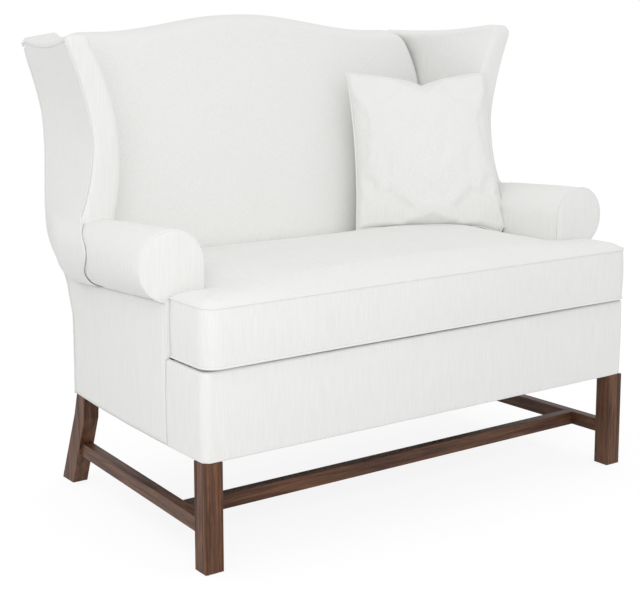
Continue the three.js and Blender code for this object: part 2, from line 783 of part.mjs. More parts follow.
function wingTenon() {
  const inner = wingWaist - wing.tenon_in - wing.tenon_half;
  const outer = wingWaist - wing.tenon_in + wing.tenon_half;
  const front = wingEdgeRear + gap + overrun;
  const rear = front + wing.post - 2 * overrun;
  return box(inner, outer, front, rear, wingFoot - arm.pad - wing.tenon, wingFoot + overrun);
}

const wingStripStart = 0.5 * wing.edge / (rearAt(armTop) - wingFront);

// A point of the wing: across runs from the inner face to the outer one
function wingPoint(y, z, across, shift) {
  return vec(mix(wingInnerAt(y, z), wingOuterAt(y, z), across) + shift, y, z);
}

// One ring of the wing: up the inner face, over the top and down again on the way back. depthAt
// gives the ring's depth at a height, for the part under the top and for the top itself.
function wingRing(depthAt, backAcross, backShift, inset = 0) {
  const share = wingShare(depthAt(shoulder, true), shoulder);
  const top = wingTopAt(share) - inset;
  const under = top - back.cap + inset;
  const lead = wing.edge_round;
  const drop = corner.drop * share;
  const at = (z, isTop, across, shift) => wingPoint(depthAt(z, isTop), z, across, shift);
  const rise = wingHeights.map((h) => at(mix(armHeight, under, h), false, 0, inset));
  const over = [
    at(top - lead, true, 0, inset + lead / 2), at(top, true, 0, inset + 2 * lead),
    at(top - wing.drop_share * drop, true, 0.5, 0), at(top - drop, true, 1, -inset - 2 * lead),
    at(top - drop - lead / 2, true, 1, -inset - lead / 2), at(under, true, 1, -inset),
  ];
  const fall = [...wingHeights].reverse().map((h) =>
    at(mix(armHeight, under, h), false, backAcross, backShift(inset)));
  return [...rise, ...over, ...fall];
}

function insideWing() {
  const strip = steps(8).map((t) => {
    const share = mix(wingStripStart, 1, t);
    const depthAt = (z, isTop) => mix(wingFront, rearAt(z) - (isTop ? 0 : back.tail), share);
    return wingRing(depthAt, 0, () => wing.pad);
  });
  const roundings = [[0, 1], [0.3, 0.3], [1, 0], [wing.edge / wing.edge_round, 0]];
  const edge = roundings.map(([depth, inset]) => wingRing(
    () => wingFront + depth * wing.edge_round, 1, (n) => -n - cover.thin - 3 * gap, inset * wing.edge_round,
  ));
  return carve(loft(strip, flatXZ), {
    add: [loft(edge, flatXZ)],
    cut: [armEnvelope(), creaseTrim()],
  });
}

// What the wing leaves free for the arm below it
function armEnvelope() {
  const shape = new THREE.Shape().absarc(armCentre, armHeight, arm.radius + 2 * gap, 0, 2 * Math.PI);
  const beside = fallen(frontPlate(shape, rollStart, armEnd, 24));
  return carve(beside, { add: [fallen(frontPlate(shape, armEnd, rearAt(armTop) + overrun, 24))] });
}

function creaseTrim() {
  const side = armInner + wing.edge_round;
  const trim = box(0, side, arm.front, rearAt(armTop), 0, armHeight + arm.radius / 2);
  const below = box(0, 2 * armCentre, arm.front, rearAt(armTop), 0, armHeight + gap);
  const slot = box(0, armInner, arm.front, rearAt(armTop), 0, armTop);
  return carve(trim, { add: [below, slot] });
}

function wingPost() {
  const start = wingEdgeRear + 2 * gap;
  const rings = wingHeights.map((h) => {
    const topUnder = wingTopAt(wingShare(start, shoulder)) - back.cap - 2 * gap - wing.dip / 2;
    const z = mix(wingFoot, topUnder, h);
    const rear = start + wing.post;
    return [[start, 0], [rear, 0], [rear, 1], [start, 1]].map(([y, side]) => {
      const inner = wingInnerAt(start, z) + wing.pad + 4 * gap;
      const outer = wingOuterAt(rear, z) - cover.thin - wing.post / 5;
      return vec(side ? outer : inner, y, z);
    });
  });
  return carve(loft(rings, flatXY), { add: [wingTenon()] });
}

function wingTopRail() {
  const start = wingEdgeRear + wing.post + 2 * gap;
  const first = wingShare(start, shoulder);
  const high = Math.min(...steps(10).map((t) => wingTopAt(mix(first, 1, t)))) - back.cap - gap;
  const low = high - wing.rail_height;
  const inner = wingInnerAt(start, high) + wing.pad + gap;
  const outer = Math.min(wingOuterAt(start, low), wingOuterAt(start, high)) - cover.thin - wing.post / 5;
  const front = rectangleXZ(inner, outer, low, high, () => start);
  const padded = wingInnerAt(postFrontAt(low), low) + wing.pad + 4 * gap;
  const rearInner = Math.max(postInner + 2 * gap, padded);
  const rear = rectangleXZ(rearInner, postOuter, low, high, (x, z) => postFrontAt(z) - gap);
  return bar(front, rear, flatXZ);
}

function outsideWing() {
  const step = (y) => armTopAt(y) + gap;
  const topAt = (y) => wingTopAt(wingShare(y, shoulder)) - back.cap - 3 * gap;
  const panel = (start, lowAt, highAt, columns, rows, bunching) => {
    const surface = (inset) => (u, v) => {
      const along = u ** bunching;
      const plan = mix(start, rearAt(shoulder), along);
      const z = mix(lowAt(plan), highAt(plan), v);
      const y = mix(start, rearAt(z) - cover.thin - gap, along);
      return vec(wingOuterAt(y, z) - inset, y, z);
    };
    return slab(columns, rows, surface(0), surface(cover.thin));
  };
  const main = panel(wingFront, step, topAt, 9, 12, 2);
  const tail = panel(armEnd + gap, () => armLipHeight + gap, (y) => step(y) + overrun, 3, 6, 1);
  return carve(main, { add: [tail] });
}

// Back frame, built upright and then reclined above the seat

function reclined(geometry) {
  const copy = geometry.index ? geometry.clone() : bareCopy(geometry);
  const place3 = copy.attributes.position;
  for (let i = 0; i < place3.count; i += 1) {
    place3.setY(i, place3.getY(i) + rearAt(place3.getZ(i)) - base.depth);
  }
  return copy;
}

const frameFront = base.depth - cover.thin - back.frame_depth;
const frameRear = frameFront + back.rail_depth;

function crestRail() {
  const end = postInner - gap;
  const over = postOuter;
  const side = creaseAt(shoulder) - overrun;
  const top = steps(32).map((share) => {
    const x = mix(side, -side, share);
    return [x, camelAt(x) - back.cap - gap];
  });
  const low = shoulder - back.cap - crest.end_drop;
  const shape = outlineOf([
    [-over, crestEndBottom + gap], [-end, crestEndBottom + gap], [-end, crestBottom],
    [end, crestBottom], [end, crestEndBottom + gap], [over, crestEndBottom + gap],
    [over, low], [side, low], ...top, [-side, low], [-over, low],
  ]);
  return carve(reclined(frontPlate(shape, frameFront, frameRear)), { cut: [grow(stileTenon(crestBottom))] });
}

function lowerBackRailTenon() {
  const low = lowerRailBottom + rail.shoulder;
  const high = lowerRailBottom + lower_rail.height - rail.shoulder;
  const front = frameFront + rail.shoulder;
  const rear = frameRear - rail.shoulder;
  return reclined(box(postInner - overrun, postInner + rail.tenon, front, rear, low, high));
}

function lowerBackRail() {
  const end = postInner - gap;
  const high = lowerRailBottom + lower_rail.height;
  const body = reclined(box(-end, end, frameFront, frameRear, lowerRailBottom, high));
  return carve(body, {
    add: [lowerBackRailTenon(), mirrored(lowerBackRailTenon())],
    cut: [grow(stileTenon(high))],
  });
}

function stileTenon(joint) {
  const half = stile.half_width / 2;
  const front = frameFront + rail.shoulder;
  const rear = frameRear - rail.shoulder;
  return reclined(box(-half, half, front, rear, joint - stile.tenon, joint + stile.tenon));
}

function backStile() {
  const low = lowerRailBottom + lower_rail.height;
  const half = stile.half_width;
  const body = reclined(box(-half, half, frameFront, frameRear, low + gap, crestBottom - gap));
  return carve(body, { add: [stileTenon(low), stileTenon(crestBottom)] });
}

function backWebbing() {
  const rear = frameFront - gap;
  const front = rear - back.webbing;
  const top = crestBottom + webbing.strip;
  const strip = (x0, x1, z0, z1) => reclined(box(x0, x1, front, rear, z0, z1));
  const wide = postOuter;
  const half = webbing.strip / 2;
  const rows = webbing.row_shares.map((share) => {
    const z = mix(lowerRailBottom, crestBottom, share);
    return strip(-wide, wide, z, z + webbing.strip);
  });
  const columns = steps(webbing.columns - 1).map((share) => {
    const reach = webbing.column_spacing * (webbing.columns - 1) / 2;
    const x = mix(-reach, reach, share);
    return strip(x - half, x + half, lowerRailBottom, top);
  });
  return carve(rows[0], { add: [...rows.slice(1), ...columns] });
}

// The inside back: padded front face, rolled over the crest rail to the outside back
function insideBack() {
  const bottom = deckTop + 2 * gap;
  const lift = steps(12);
  const section = (share) => {
    const across = Math.abs(share);
    const fade = 1 - across ** 4;
    const top = camelAt(share * creaseAt(shoulder));
    const roll = back.thickness / 4;
    const x = (z) => share * (creaseAt(Math.min(z, shoulder)) - 3 * gap);
    const face = lift.map((t) => {
      const z = mix(bottom, top - roll, t);
      const crown = back.crown * fade * Math.sin(Math.PI * clamp((z - bottom) / (top - bottom), 0, 1));
      return vec(x(z), backFrontAt(z) - crown, z);
    });
    const roundShares = [[0.12, 0.55], [0.35, 0.85], [0.8, 1]];
    const over = roundShares.map(([inward, up]) => {
      const z = top - roll * (1 - up);
      return vec(x(z), rearAt(z) - back.thickness + inward * roll * 1.5, z);
    });
    const crownTop = [vec(x(top), rearAt(top) - back.thickness / 3, top)];
    const rear = [
      vec(x(top), rearAt(top - gap) - cover.thin, top - cover.thin / 2),
      vec(x(top), rearAt(top - back.cap), top - back.cap / 2),
      vec(x(top), rearAt(top - back.cap), top - back.cap),
    ];
    const ledge = vec(x(top - back.cap), rearAt(top - back.cap) - back.tail, top - back.cap);
    const inner = [...lift].reverse().slice(1).map((t) => {
      const z = mix(bottom, top - back.cap, t);
      return vec(x(z), rearAt(z) - back.tail, z);
    });
    return [...face, ...over, ...crownTop, ...rear, ledge, ...inner];
  };
  const shares = steps(24).map((share) => 2 * share - 1);
  return loft(shares.map(section), flatYZ, lift.length - 1);
}

function outsideBack() {
  const bend = bendHeight;
  const rows = 10;
  const surface = (inset) => (u, v) => {
    const across = 2 * u - 1;
    const index = Math.round(v * rows);
    const crown = camelAt(across * cornerAt(shoulder)) - back.cap - 2 * gap;
    const z = index === 0 ? base.bottom + gap : mix(bend, crown, (index - 1) / (rows - 1));
    const trim = z > baseTop ? 0 : cover.proud;
    return vec(across * (cornerAt(z) + trim), rearAt(z) - inset, z);
  };
  return slab(24, rows, surface(0), surface(cover.thin - gap));
}

// Loose seat cushion: T shaped in plan, crowned, with a boxing that draws in between the corners

const lowerWelt = baseTop + cushion.welt_lift;
const upperWelt = lowerWelt + cushion.boxing;
const cushionWaist = armInner - cushion.arm_clearance;
const cushionLobe = base.half_width - cushion.side_clearance;
const cushionStep = arm.front - cushion.arm_clearance;

// How far a place in plan is from the cushion's edge, and how much of the crown it has there
const depthIn = (x, y) => {
  const beside = cushionWaist - Math.abs(x);
  const fromSide = y < cushionStep ? cushionLobe - Math.abs(x) : beside;
  const notch = beside < 0 ? cushionStep - y : Math.hypot(beside, Math.max(0, cushionStep - y));
  const fromArm = y < cushionStep ? notch : beside;
  return Math.max(0, Math.min(fromSide, fromArm, y - cushion.front, seatBack - y));
};
const swell = (x, y) => 1 - Math.exp(-3 * depthIn(x, y) / cushion.soft_edge);

function gridLines(from, to, count) {
  return steps(count).map((share) => mix(from, to, share));
}

function seatCushion() {
  const waist = cushionWaist;
  const lobe = cushionLobe;
  const bend = cushion.corner;
  const step = cushionStep;
  const half = gridLines(0, waist, cushion.columns)
    .concat(gridLines(lobe - bend, lobe, cushion.corner_cells));
  const xs = half.slice(1).map((x) => -x).reverse().concat(half);
  const ys = gridLines(cushion.front, cushion.front + bend, cushion.corner_cells)
    .concat(gridLines(cushion.front + bend, step, cushion.lobe_rows).slice(1))
    .concat(gridLines(step, seatBack, cushion.rows).slice(1));
  const inside = (x, y) => Math.abs(x) < waist || y < step;
  const drawn = (x, y) => {
    const acrossShare = clamp(Math.abs(x) / waist, 0, 1);
    const alongShare = clamp((y - step) / (seatBack - step), 0, 1);
    const forward = clamp((step - y) / (step - cushion.front), 0, 1);
    const frontPull = cushion.draw_in * (1 - acrossShare ** 2) * forward;
    const sidePull = y > step && Math.abs(x) > waist - gap
      ? cushion.draw_in * Math.sin(Math.PI * alongShare) : 0;
    const a = clamp((Math.abs(x) - lobe + bend) / bend, 0, 1);
    const b = clamp((cushion.front + bend - y) / bend, 0, 1);
    const roundX = bend * a * (1 - Math.sqrt(1 - b * b / 2));
    const roundY = bend * b * (1 - Math.sqrt(1 - a * a / 2));
    return [x - Math.sign(x) * (sidePull + roundX), y + frontPull + roundY];
  };
  const points = [];
  const indexOf = new Map();
  const vertex = (layer, i, j) => {
    const key = `${layer}_${i}_${j}`;
    if (!indexOf.has(key)) {
      const [x, y] = drawn(xs[i], ys[j]);
      const full = swell(xs[i], ys[j]);
      const foot = baseTop + cushion.lift;
      const heights = {
        top: upperWelt + cushion.crown * full,
        middle: (upperWelt + lowerWelt) / 2,
        bottom: mix(lowerWelt, foot, full),
      };
      const out = layer === 'middle' ? 1 + cushion.bulge / waist : 1;
      const depthOut = layer === 'middle' ? Math.sign(y - step) * cushion.bulge : 0;
      const edgeY = Math.abs(y - step) < gap ? 0 : depthOut;
      const shift = j === 0 || j === ys.length - 1 ? edgeY : 0;
      points.push(vec(x * (y > step ? 1 : out), y + shift, heights[layer]));
      indexOf.set(key, points.length - 1);
    }
    return indexOf.get(key);
  };
  const faces = [];
  const cell = (i, j) => i >= 0 && j >= 0 && i < xs.length - 1 && j < ys.length - 1
    && inside((xs[i] + xs[i + 1]) / 2, (ys[j] + ys[j + 1]) / 2);
  const quad = (a, b, c, d) => faces.push([a, b, c], [a, c, d]);
  const wall = (i0, j0, i1, j1) => {
    for (const [upper, lower] of [['top', 'middle'], ['middle', 'bottom']]) {
      quad(vertex(lower, i0, j0), vertex(lower, i1, j1), vertex(upper, i1, j1), vertex(upper, i0, j0));
    }
  };
  for (let i = 0; i < xs.length - 1; i += 1) {
    for (let j = 0; j < ys.length - 1; j += 1) {
      if (!cell(i, j)) continue;
      const corners = [[i, j], [i + 1, j], [i + 1, j + 1], [i, j + 1]];
      const around = (layer) => corners.map(([p, q]) => vertex(layer, p, q));
      quad(...around('top'));
      quad(...around('bottom').reverse());
      if (!cell(i, j - 1)) wall(i, j, i + 1, j);
      if (!cell(i, j + 1)) wall(i + 1, j + 1, i, j + 1);
      if (!cell(i - 1, j)) wall(i, j + 1, i, j);
      if (!cell(i + 1, j)) wall(i + 1, j, i + 1, j + 1);
    }
  }
  return solidFrom(points, faces);
}

// Loose pillow: two bowed faces that meet in a knife edge, leaning into the right hand corner

function throwPillow() {
  const shares = steps(pillow.cells).map((t) => 2 * t - 1);
  const count = shares.length;
  const edge = (i, j) => i === 0 || j === 0 || i === count - 1 || j === count - 1;
  const points = [];
  const indexOf = new Map();
  const vertex = (side, i, j) => {
    const key = edge(i, j) ? `edge_${i}_${j}` : `${side}_${i}_${j}`;
    if (!indexOf.has(key)) {
      const u = shares[i];
      const v = shares[j];
      const x = pillow.half_width * u * (1 - pillow.pinch * (1 - v * v)) * (1 - pillow.taper_share * v);
      const z = pillow.half_height * v * (1 - pillow.pinch * (1 - u * u));
      const full = ((1 - u * u) * (1 - v * v)) ** pillow.fullness;
      points.push(vec(x - pillow.slump * z, side * pillow.half_thickness * full, z));
      indexOf.set(key, points.length - 1);
    }
    return indexOf.get(key);
  };
  const faces = [];
  for (const side of [-1, 1]) {
    for (let i = 0; i < count - 1; i += 1) {
      for (let j = 0; j < count - 1; j += 1) {
        const around = [[i, j], [i + 1, j], [i + 1, j + 1], [i, j + 1]];
        const [a, b, c, d] = around.map(([p, q]) => vertex(side, p, q));
        faces.push(...(side < 0 ? [[a, b, c], [a, c, d]] : [[a, c, b], [a, d, c]]));
      }
    }
  }
  const radians = Math.PI / 180;
  const body = solidFrom(points, faces)
    .rotateY(pillow.turn * radians)
    .rotateX(-pillow.lean * radians)
    .rotateZ(pillow.yaw * radians)
    .translate(armInner - crease.inset - pillow.side_inset, seatBack - pillow.back_inset, 0);
  return body.translate(0, 0, restingHeight(body) - pillow.settle);
}

// How far a body is lifted to stand on the seat cushion's crown
function restingHeight(body) {
  const place3 = body.attributes.position;
  let lift = -Infinity;
  for (let i = 0; i < place3.count; i += 1) {
    const seat = upperWelt + cushion.crown * swell(place3.getX(i), place3.getY(i));
    lift = Math.max(lift, seat - place3.getZ(i));
  }
  return lift;
}

// Assembly

placePair('front_leg', frontLeg(), colours.mahogany, 0.45);
placePair('rear_leg', rearLeg(), colours.mahogany, 0.45);
placePair('side_stretcher', sideStretcher(), colours.mahogany, 0.45);
place('medial_stretcher', medialStretcher(), colours.mahogany, 0.45);

place('front_seat_rail', frontRail(), colours.frame_wood);
place('rear_seat_rail', rearRail(), colours.frame_wood);
placePair('side_seat_rail', sideRail(), colours.frame_wood);
placePair('front_corner_block', frontCornerBlock(), colours.frame_wood);
placePair('rear_corner_block', rearCornerBlock(), colours.frame_wood);
for (let i = 0; i < spring.count; i += 1) {
  const x = spring.spacing * (i - (spring.count - 1) / 2);
  place(`seat_spring_${i + 1}`, seatSpring(x), colours.steel, 0.4, 0.9);
}
place('seat_deck', seatDeck(), colours.fabric);
place('dust_cover', dustCover(), colours.cambric);

place('front_border', frontBorder(), colours.fabric);
placePair('outside_arm', outsideArm(), colours.fabric);
placePair('arm_front', armFront(), colours.fabric);
placePair('arm_pad', armPad(), colours.fabric);
placePair('arm_stump', armStump(), colours.frame_wood);
placePair('arm_rail', armRail(), colours.frame_wood);
placePair('arm_tack_rail', armTackRail(), colours.frame_wood);

placePair('inside_wing', insideWing(), colours.fabric);
placePair('outside_wing', outsideWing(), colours.fabric);
placePair('wing_post', wingPost(), colours.frame_wood);
placePair('wing_top_rail', wingTopRail(), colours.frame_wood);

place('crest_rail', crestRail(), colours.frame_wood);
place('lower_back_rail', lowerBackRail(), colours.frame_wood);
place('back_stile', backStile(), colours.frame_wood);
place('back_webbing', backWebbing(), colours.jute);
place('inside_back', insideBack(), colours.fabric);
place('outside_back', outsideBack(), colours.fabric);

place('seat_cushion', seatCushion(), colours.fabric);
place('throw_pillow', throwPillow(), colours.fabric);

// The origin is the middle of the footprint box, on the floor.
const bounds = new THREE.Box3().setFromObject(settee);
settee.position.y = -(bounds.min.y + bounds.max.y) / 2;

export default settee;
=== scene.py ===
"""High back settee: woven white covers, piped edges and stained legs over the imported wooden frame."""

import math

import bmesh
import bpy
import numpy as np
from mathutils import Matrix, Vector, geometry


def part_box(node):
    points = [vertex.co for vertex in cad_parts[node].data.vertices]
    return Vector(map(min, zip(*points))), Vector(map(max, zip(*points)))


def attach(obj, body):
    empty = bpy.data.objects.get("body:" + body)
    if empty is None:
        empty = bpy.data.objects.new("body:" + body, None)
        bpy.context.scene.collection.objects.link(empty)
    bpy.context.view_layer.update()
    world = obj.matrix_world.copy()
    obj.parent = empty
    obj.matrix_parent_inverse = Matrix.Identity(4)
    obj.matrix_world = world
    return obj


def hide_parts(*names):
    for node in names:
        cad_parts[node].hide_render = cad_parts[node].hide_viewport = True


bl_info = {
    "name": "High Back Settee",
    "version": (1, 0, 0),
    "blender": (4, 5, 0),
    "location": "View3D > Sidebar > Settee",
    "description": "Dresses the settee frame with padded covers, a seat cushion, a pillow and stained legs",
    "category": "Object",
}

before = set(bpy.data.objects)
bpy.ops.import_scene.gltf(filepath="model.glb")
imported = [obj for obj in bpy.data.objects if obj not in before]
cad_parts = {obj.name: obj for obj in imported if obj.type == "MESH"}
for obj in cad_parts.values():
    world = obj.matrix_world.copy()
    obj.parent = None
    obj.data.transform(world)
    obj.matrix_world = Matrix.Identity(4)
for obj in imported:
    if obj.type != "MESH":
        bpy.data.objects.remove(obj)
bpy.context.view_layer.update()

# Plan depths count from the front face of the front legs, and this puts them in the shared frame.
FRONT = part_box("front_leg_left")[0].y

SIDES = {"left": -1, "right": 1}
WORDS = {side: word for word, side in SIDES.items()}

# Sizes of the covers, in metres: those of the part's source first, with the roundings that only show here

HALF_WIDTH, DEPTH, BASE_LOW, BASE_HIGH = 0.597, 0.628, 0.2283, 0.413
PROUD, COVER, THIN, GAP = 0.0008, 0.007, 0.006, 0.0003
CORNER_BEND = 0.018
RECLINE, BEND_HEIGHT, BACK_THICK, FOOT_PAD = 0.32, 0.414, 0.1, 0.0036
CROWN, CAP, TAIL = 0.009, 0.018, 0.0497
WAIST, TOP_HALF, EAR_DROP = 0.571, 0.59, 0.011
CORNER_HEIGHTS, CORNER_HALVES = np.array([
    (0.22, 0.5745), (0.4, 0.5745), (0.455, 0.5755), (0.5, 0.577), (0.53, 0.585), (0.565, 0.5975),
    (0.605, 0.604), (0.66, 0.6), (0.73, 0.5885), (0.8, 0.577), (0.88, 0.571), (0.95, 0.578), (1.0, 0.5865),
    (1.062, 0.59)]).T
SHOULDER, CAMEL_RISE, CAMEL_HALF = 1.062, 0.042, 0.4
CREASE, CREASE_SWELL, CREASE_TURN, CREASE_IN = 0.505, 0.017, 0.93, 0.037
ARM_X, ARM_Z, ARM_RADIUS, ARM_FRONT, ARM_PAD, ARM_END = 0.583, 0.602, 0.074, 0.141, 0.022, 0.568
ROLL_START, ROLL_FALL, ROLL_TAPER = 0.1733, 0.3, 0.27
WING_FRONT, WING_WAIST, WING_WAIST_Z, WING_FLARE, WING_FOOT = 0.468, 0.585, 0.83, 0.066, 0.0291
WING_IN, WING_IN_Z, WING_IN_FLARE, WING_IN_FOOT = 0.52, 0.79, 0.078, 0.0137
WING_TOP = 1.07
OUT_ROLL, ROLL_CLEAR, SEAM_SWEEP, SEAM_RETURN = 0.0115, 0.0028, 0.4, 0.045
IN_ROLL, TOP_ROLL, TOP_CROWN, REAR_ROLL = 0.018, 0.01, 0.016, 0.009
EDGE_TUCK, BACK_EDGE_TUCK = 0.003, 0.02

# The ears aren't a pair: one top edge has sunk a little and the other stands full.
EAR_DIP = {-1: 0.018, 1: 0.005}
EAR_FULL = {-1: -0.007, 1: 0.01}
EAR_BEND, EAR_REAR_BEND = {-1: 0.012, 1: 0.03}, 0.012

ARM_INNER = ARM_X - ARM_RADIUS
ARM_TOP = ARM_Z + ARM_RADIUS
ARM_LIP = ARM_Z - math.sqrt(ARM_RADIUS ** 2 - (HALF_WIDTH - ARM_X) ** 2)
LIP_ANGLE = -math.acos((HALF_WIDTH - ARM_X) / ARM_RADIUS)
COVER_START = ARM_FRONT + COVER + GAP
DECK_TOP = BASE_HIGH - GAP
RAIL_FRONT = COVER - PROUD + GAP


# Shapes that several covers share

def mix(a, b, share):
    return a + (b - a) * share


def ease(share):
    return (1 - np.cos(np.pi * np.clip(share, 0, 1))) / 2


def rear_at(z):
    return DEPTH + RECLINE * np.maximum(0, z - BEND_HEIGHT)


def curve_at(place, places, values):
    """The height of a smooth curve through the values at the places."""
    slopes = np.gradient(values, places)
    step = np.clip(np.searchsorted(places, place) - 1, 0, len(places) - 2)
    width = places[step + 1] - places[step]
    t = np.clip((place - places[step]) / width, 0, 1)
    low = values[step] * (1 + 2 * t) * (1 - t) ** 2 + values[step + 1] * t * t * (3 - 2 * t)
    return low + width * t * (1 - t) * (slopes[step] * (1 - t) - slopes[step + 1] * t)


def corner_at(z):
    """Half the width of the rear corners."""
    return curve_at(z, CORNER_HEIGHTS, CORNER_HALVES)


def side_at(y, z):
    share = np.clip((y - ARM_FRONT) / (rear_at(z) - ARM_FRONT), 0, 1)
    return mix(HALF_WIDTH, corner_at(z), share * share)


def back_front_at(z):
    return np.maximum(DEPTH - TAIL - FOOT_PAD, rear_at(z) - BACK_THICK)


def camel_at(x):
    share = np.clip(np.abs(x) / CAMEL_HALF, 0, 1)
    return SHOULDER + CAMEL_RISE * (1 + np.cos(np.pi * share)) / 2


def crease_at(z):
    share = np.maximum(0, z - CREASE_TURN) / (SHOULDER - CREASE_TURN)
    swell = CREASE_SWELL * ease((z - ARM_TOP) / (CREASE_TURN - ARM_TOP))
    return CREASE + swell - CREASE_IN * share * share


def roll_share(y):
    return np.clip((y - ROLL_START) / (ARM_END - ROLL_START), 0, 1)


def arm_top_at(y):
    return ARM_Z + ARM_RADIUS * (1 - ROLL_FALL * roll_share(y))


def arm_lip_at(y):
    return ARM_Z - (ARM_Z - ARM_LIP) * (1 + ROLL_FALL * roll_share(y))


def rolled(x, y, z):
    """A point of the arm roll, which gets lower, narrower and heavier underneath towards the rear."""
    share = float(roll_share(y))
    if z > ARM_Z:
        z = ARM_Z + (z - ARM_Z) * (1 - ROLL_FALL * share)
    elif x > ARM_X:
        z = ARM_Z + (z - ARM_Z) * (1 + ROLL_FALL * share)
    if x > ARM_X:
        x = ARM_X + (x - ARM_X) * (1 - ROLL_TAPER * share)
    return x, y, z


def roll_outer_at(y, z, clear):
    """The outside of the arm roll, and a cloth lying clear of it."""
    share = roll_share(y)
    tall = ARM_RADIUS * np.where(z > ARM_Z, 1 - ROLL_FALL * share, 1 + ROLL_FALL * share) + clear
    wide = ARM_RADIUS * (1 - ROLL_TAPER * share) + clear
    height = np.abs(z - ARM_Z) / tall
    return ARM_X + wide * np.sqrt(np.maximum(0, 1 - height * height)) - 0.2 * np.maximum(0, height - 1)


def wing_share(y, z):
    return np.clip((y - WING_FRONT) / (rear_at(z) - WING_FRONT), 0, 1)


def flare_at(z, waist, up, down, power):
    above = np.maximum(0, z - waist) / (SHOULDER - waist)
    below = np.maximum(0, waist - z) / (waist - ARM_TOP)
    return up * above ** power + down * below ** 2


def wing_panel_at(y, z):
    front = WING_WAIST + flare_at(z, WING_WAIST_Z, WING_FLARE, WING_FOOT, 1.5)
    return mix(front, corner_at(z), wing_share(y, z))


def wing_outer_at(y, z):
    top, lip = arm_top_at(y), arm_lip_at(y)
    low = mix(side_at(y, z), wing_panel_at(y, top), ease((z - lip) / (top - lip)))
    return np.where(z >= top, wing_panel_at(y, z), low)


def wing_inner_at(y, z):
    front = WING_IN + flare_at(z, WING_IN_Z, WING_IN_FLARE, WING_IN_FOOT, 2)
    return mix(front, crease_at(z), wing_share(y, z))


def wing_skin_at(y, z):
    """The outside of a wing, where its cloth runs on down over the rear of the arm roll."""
    plain = wing_outer_at(y, z)
    roll = roll_outer_at(y, z, ROLL_CLEAR)
    over = (roll - plain + np.hypot(roll - plain, 0.008)) / 2
    return plain + over * (1 - ease((y - 0.548) / (rear_at(z) - 0.548)))


def wing_front_at(z):
    """Depth of the outside wing's front seam, which runs forward as it comes down over the roll."""
    low = SEAM_SWEEP + SEAM_RETURN * ease((0.6 - z) / 0.07)
    return mix(low, WING_FRONT + OUT_ROLL, ease((z - 0.598) / 0.072))


def tuck(distance, radius):
    """How far a padded surface has dropped at a distance from its sewn edge."""
    short = np.clip(1 - distance / radius, 0, 1)
    return radius * (1 - np.sqrt(1 - short * short))


def ripple(points, length, seed):
    """A soft unevenness between -1 and 1 that changes over a length."""
    source = np.random.default_rng(seed)
    directions = source.normal(size=(7, 3))
    directions /= np.linalg.norm(directions, axis=1)[:, None]
    phases = source.uniform(0, 2 * np.pi, 7)
    waves = np.sin(points @ directions.T * (2 * np.pi / length) + phases)
    return waves.sum(axis=-1) / 7


# Meshes

def new_piece(name, points, faces, edges=()):
    """An object whose plan points are moved into the shared frame, with its faces turned out."""
    placed = np.array(points, float).reshape(-1, 3)
    placed[:, 1] += FRONT
    mesh = bpy.data.meshes.new(name)
    mesh.from_pydata(placed.tolist(), list(edges), [list(face) for face in faces])
    if faces:
        shell = bmesh.new()
        shell.from_mesh(mesh)
        bmesh.ops.recalc_face_normals(shell, faces=shell.faces)
        shell.to_mesh(mesh)
        shell.free()
        mesh.shade_smooth()
    piece = bpy.data.objects.new(name, mesh)
    bpy.context.scene.collection.objects.link(piece)
    return piece


def grid_faces(rows, columns, closed=False, offset=0):
    """Quads between neighbouring rows of points; closed joins the last column to the first."""
    faces = []
    for row in range(rows - 1):
        for column in range(columns if closed else columns - 1):
            after = (column + 1) % columns
            a, b = offset + row * columns, offset + (row + 1) * columns
            faces.append((a + column, a + after, b + after, b + column))
    return faces


def lofted(name, rings, side=1, rungs=0):
    """A closed body through rings of equal length, with filled ends; rungs join the sides of a tall end."""
    rings = np.array(rings, float)
    rings[..., 0] *= side
    count, size = rings.shape[:2]
    faces = grid_faces(count, size, closed=True)
    for start in (0, (count - 1) * size):
        far = start + size - 1
        faces += [(start + i, start + i + 1, far - 1 - i, far - i) for i in range(rungs)]
        faces.append(tuple(start + i for i in range(rungs, size - rungs)))
    return new_piece(name, rings, faces)


def slab(name, outer, inner, side=1):
    """A closed sheet between two matching grids of points."""
    outer, inner = np.array(outer, float), np.array(inner, float)
    rows, columns = outer.shape[:2]
    total = rows * columns
    points = np.concatenate([outer.reshape(-1, 3), inner.reshape(-1, 3)])
    points[:, 0] *= side
    faces = grid_faces(rows, columns) + grid_faces(rows, columns, offset=total)
    border = [i for i in range(columns)]
    border += [row * columns + columns - 1 for row in range(1, rows)]
    border += [(rows - 1) * columns + i for i in range(columns - 2, -1, -1)]
    border += [row * columns for row in range(rows - 2, 0, -1)]
    for here, there in zip(border, border[1:] + border[:1]):
        faces.append((here, there, there + total, here + total))
    return new_piece(name, points, faces)


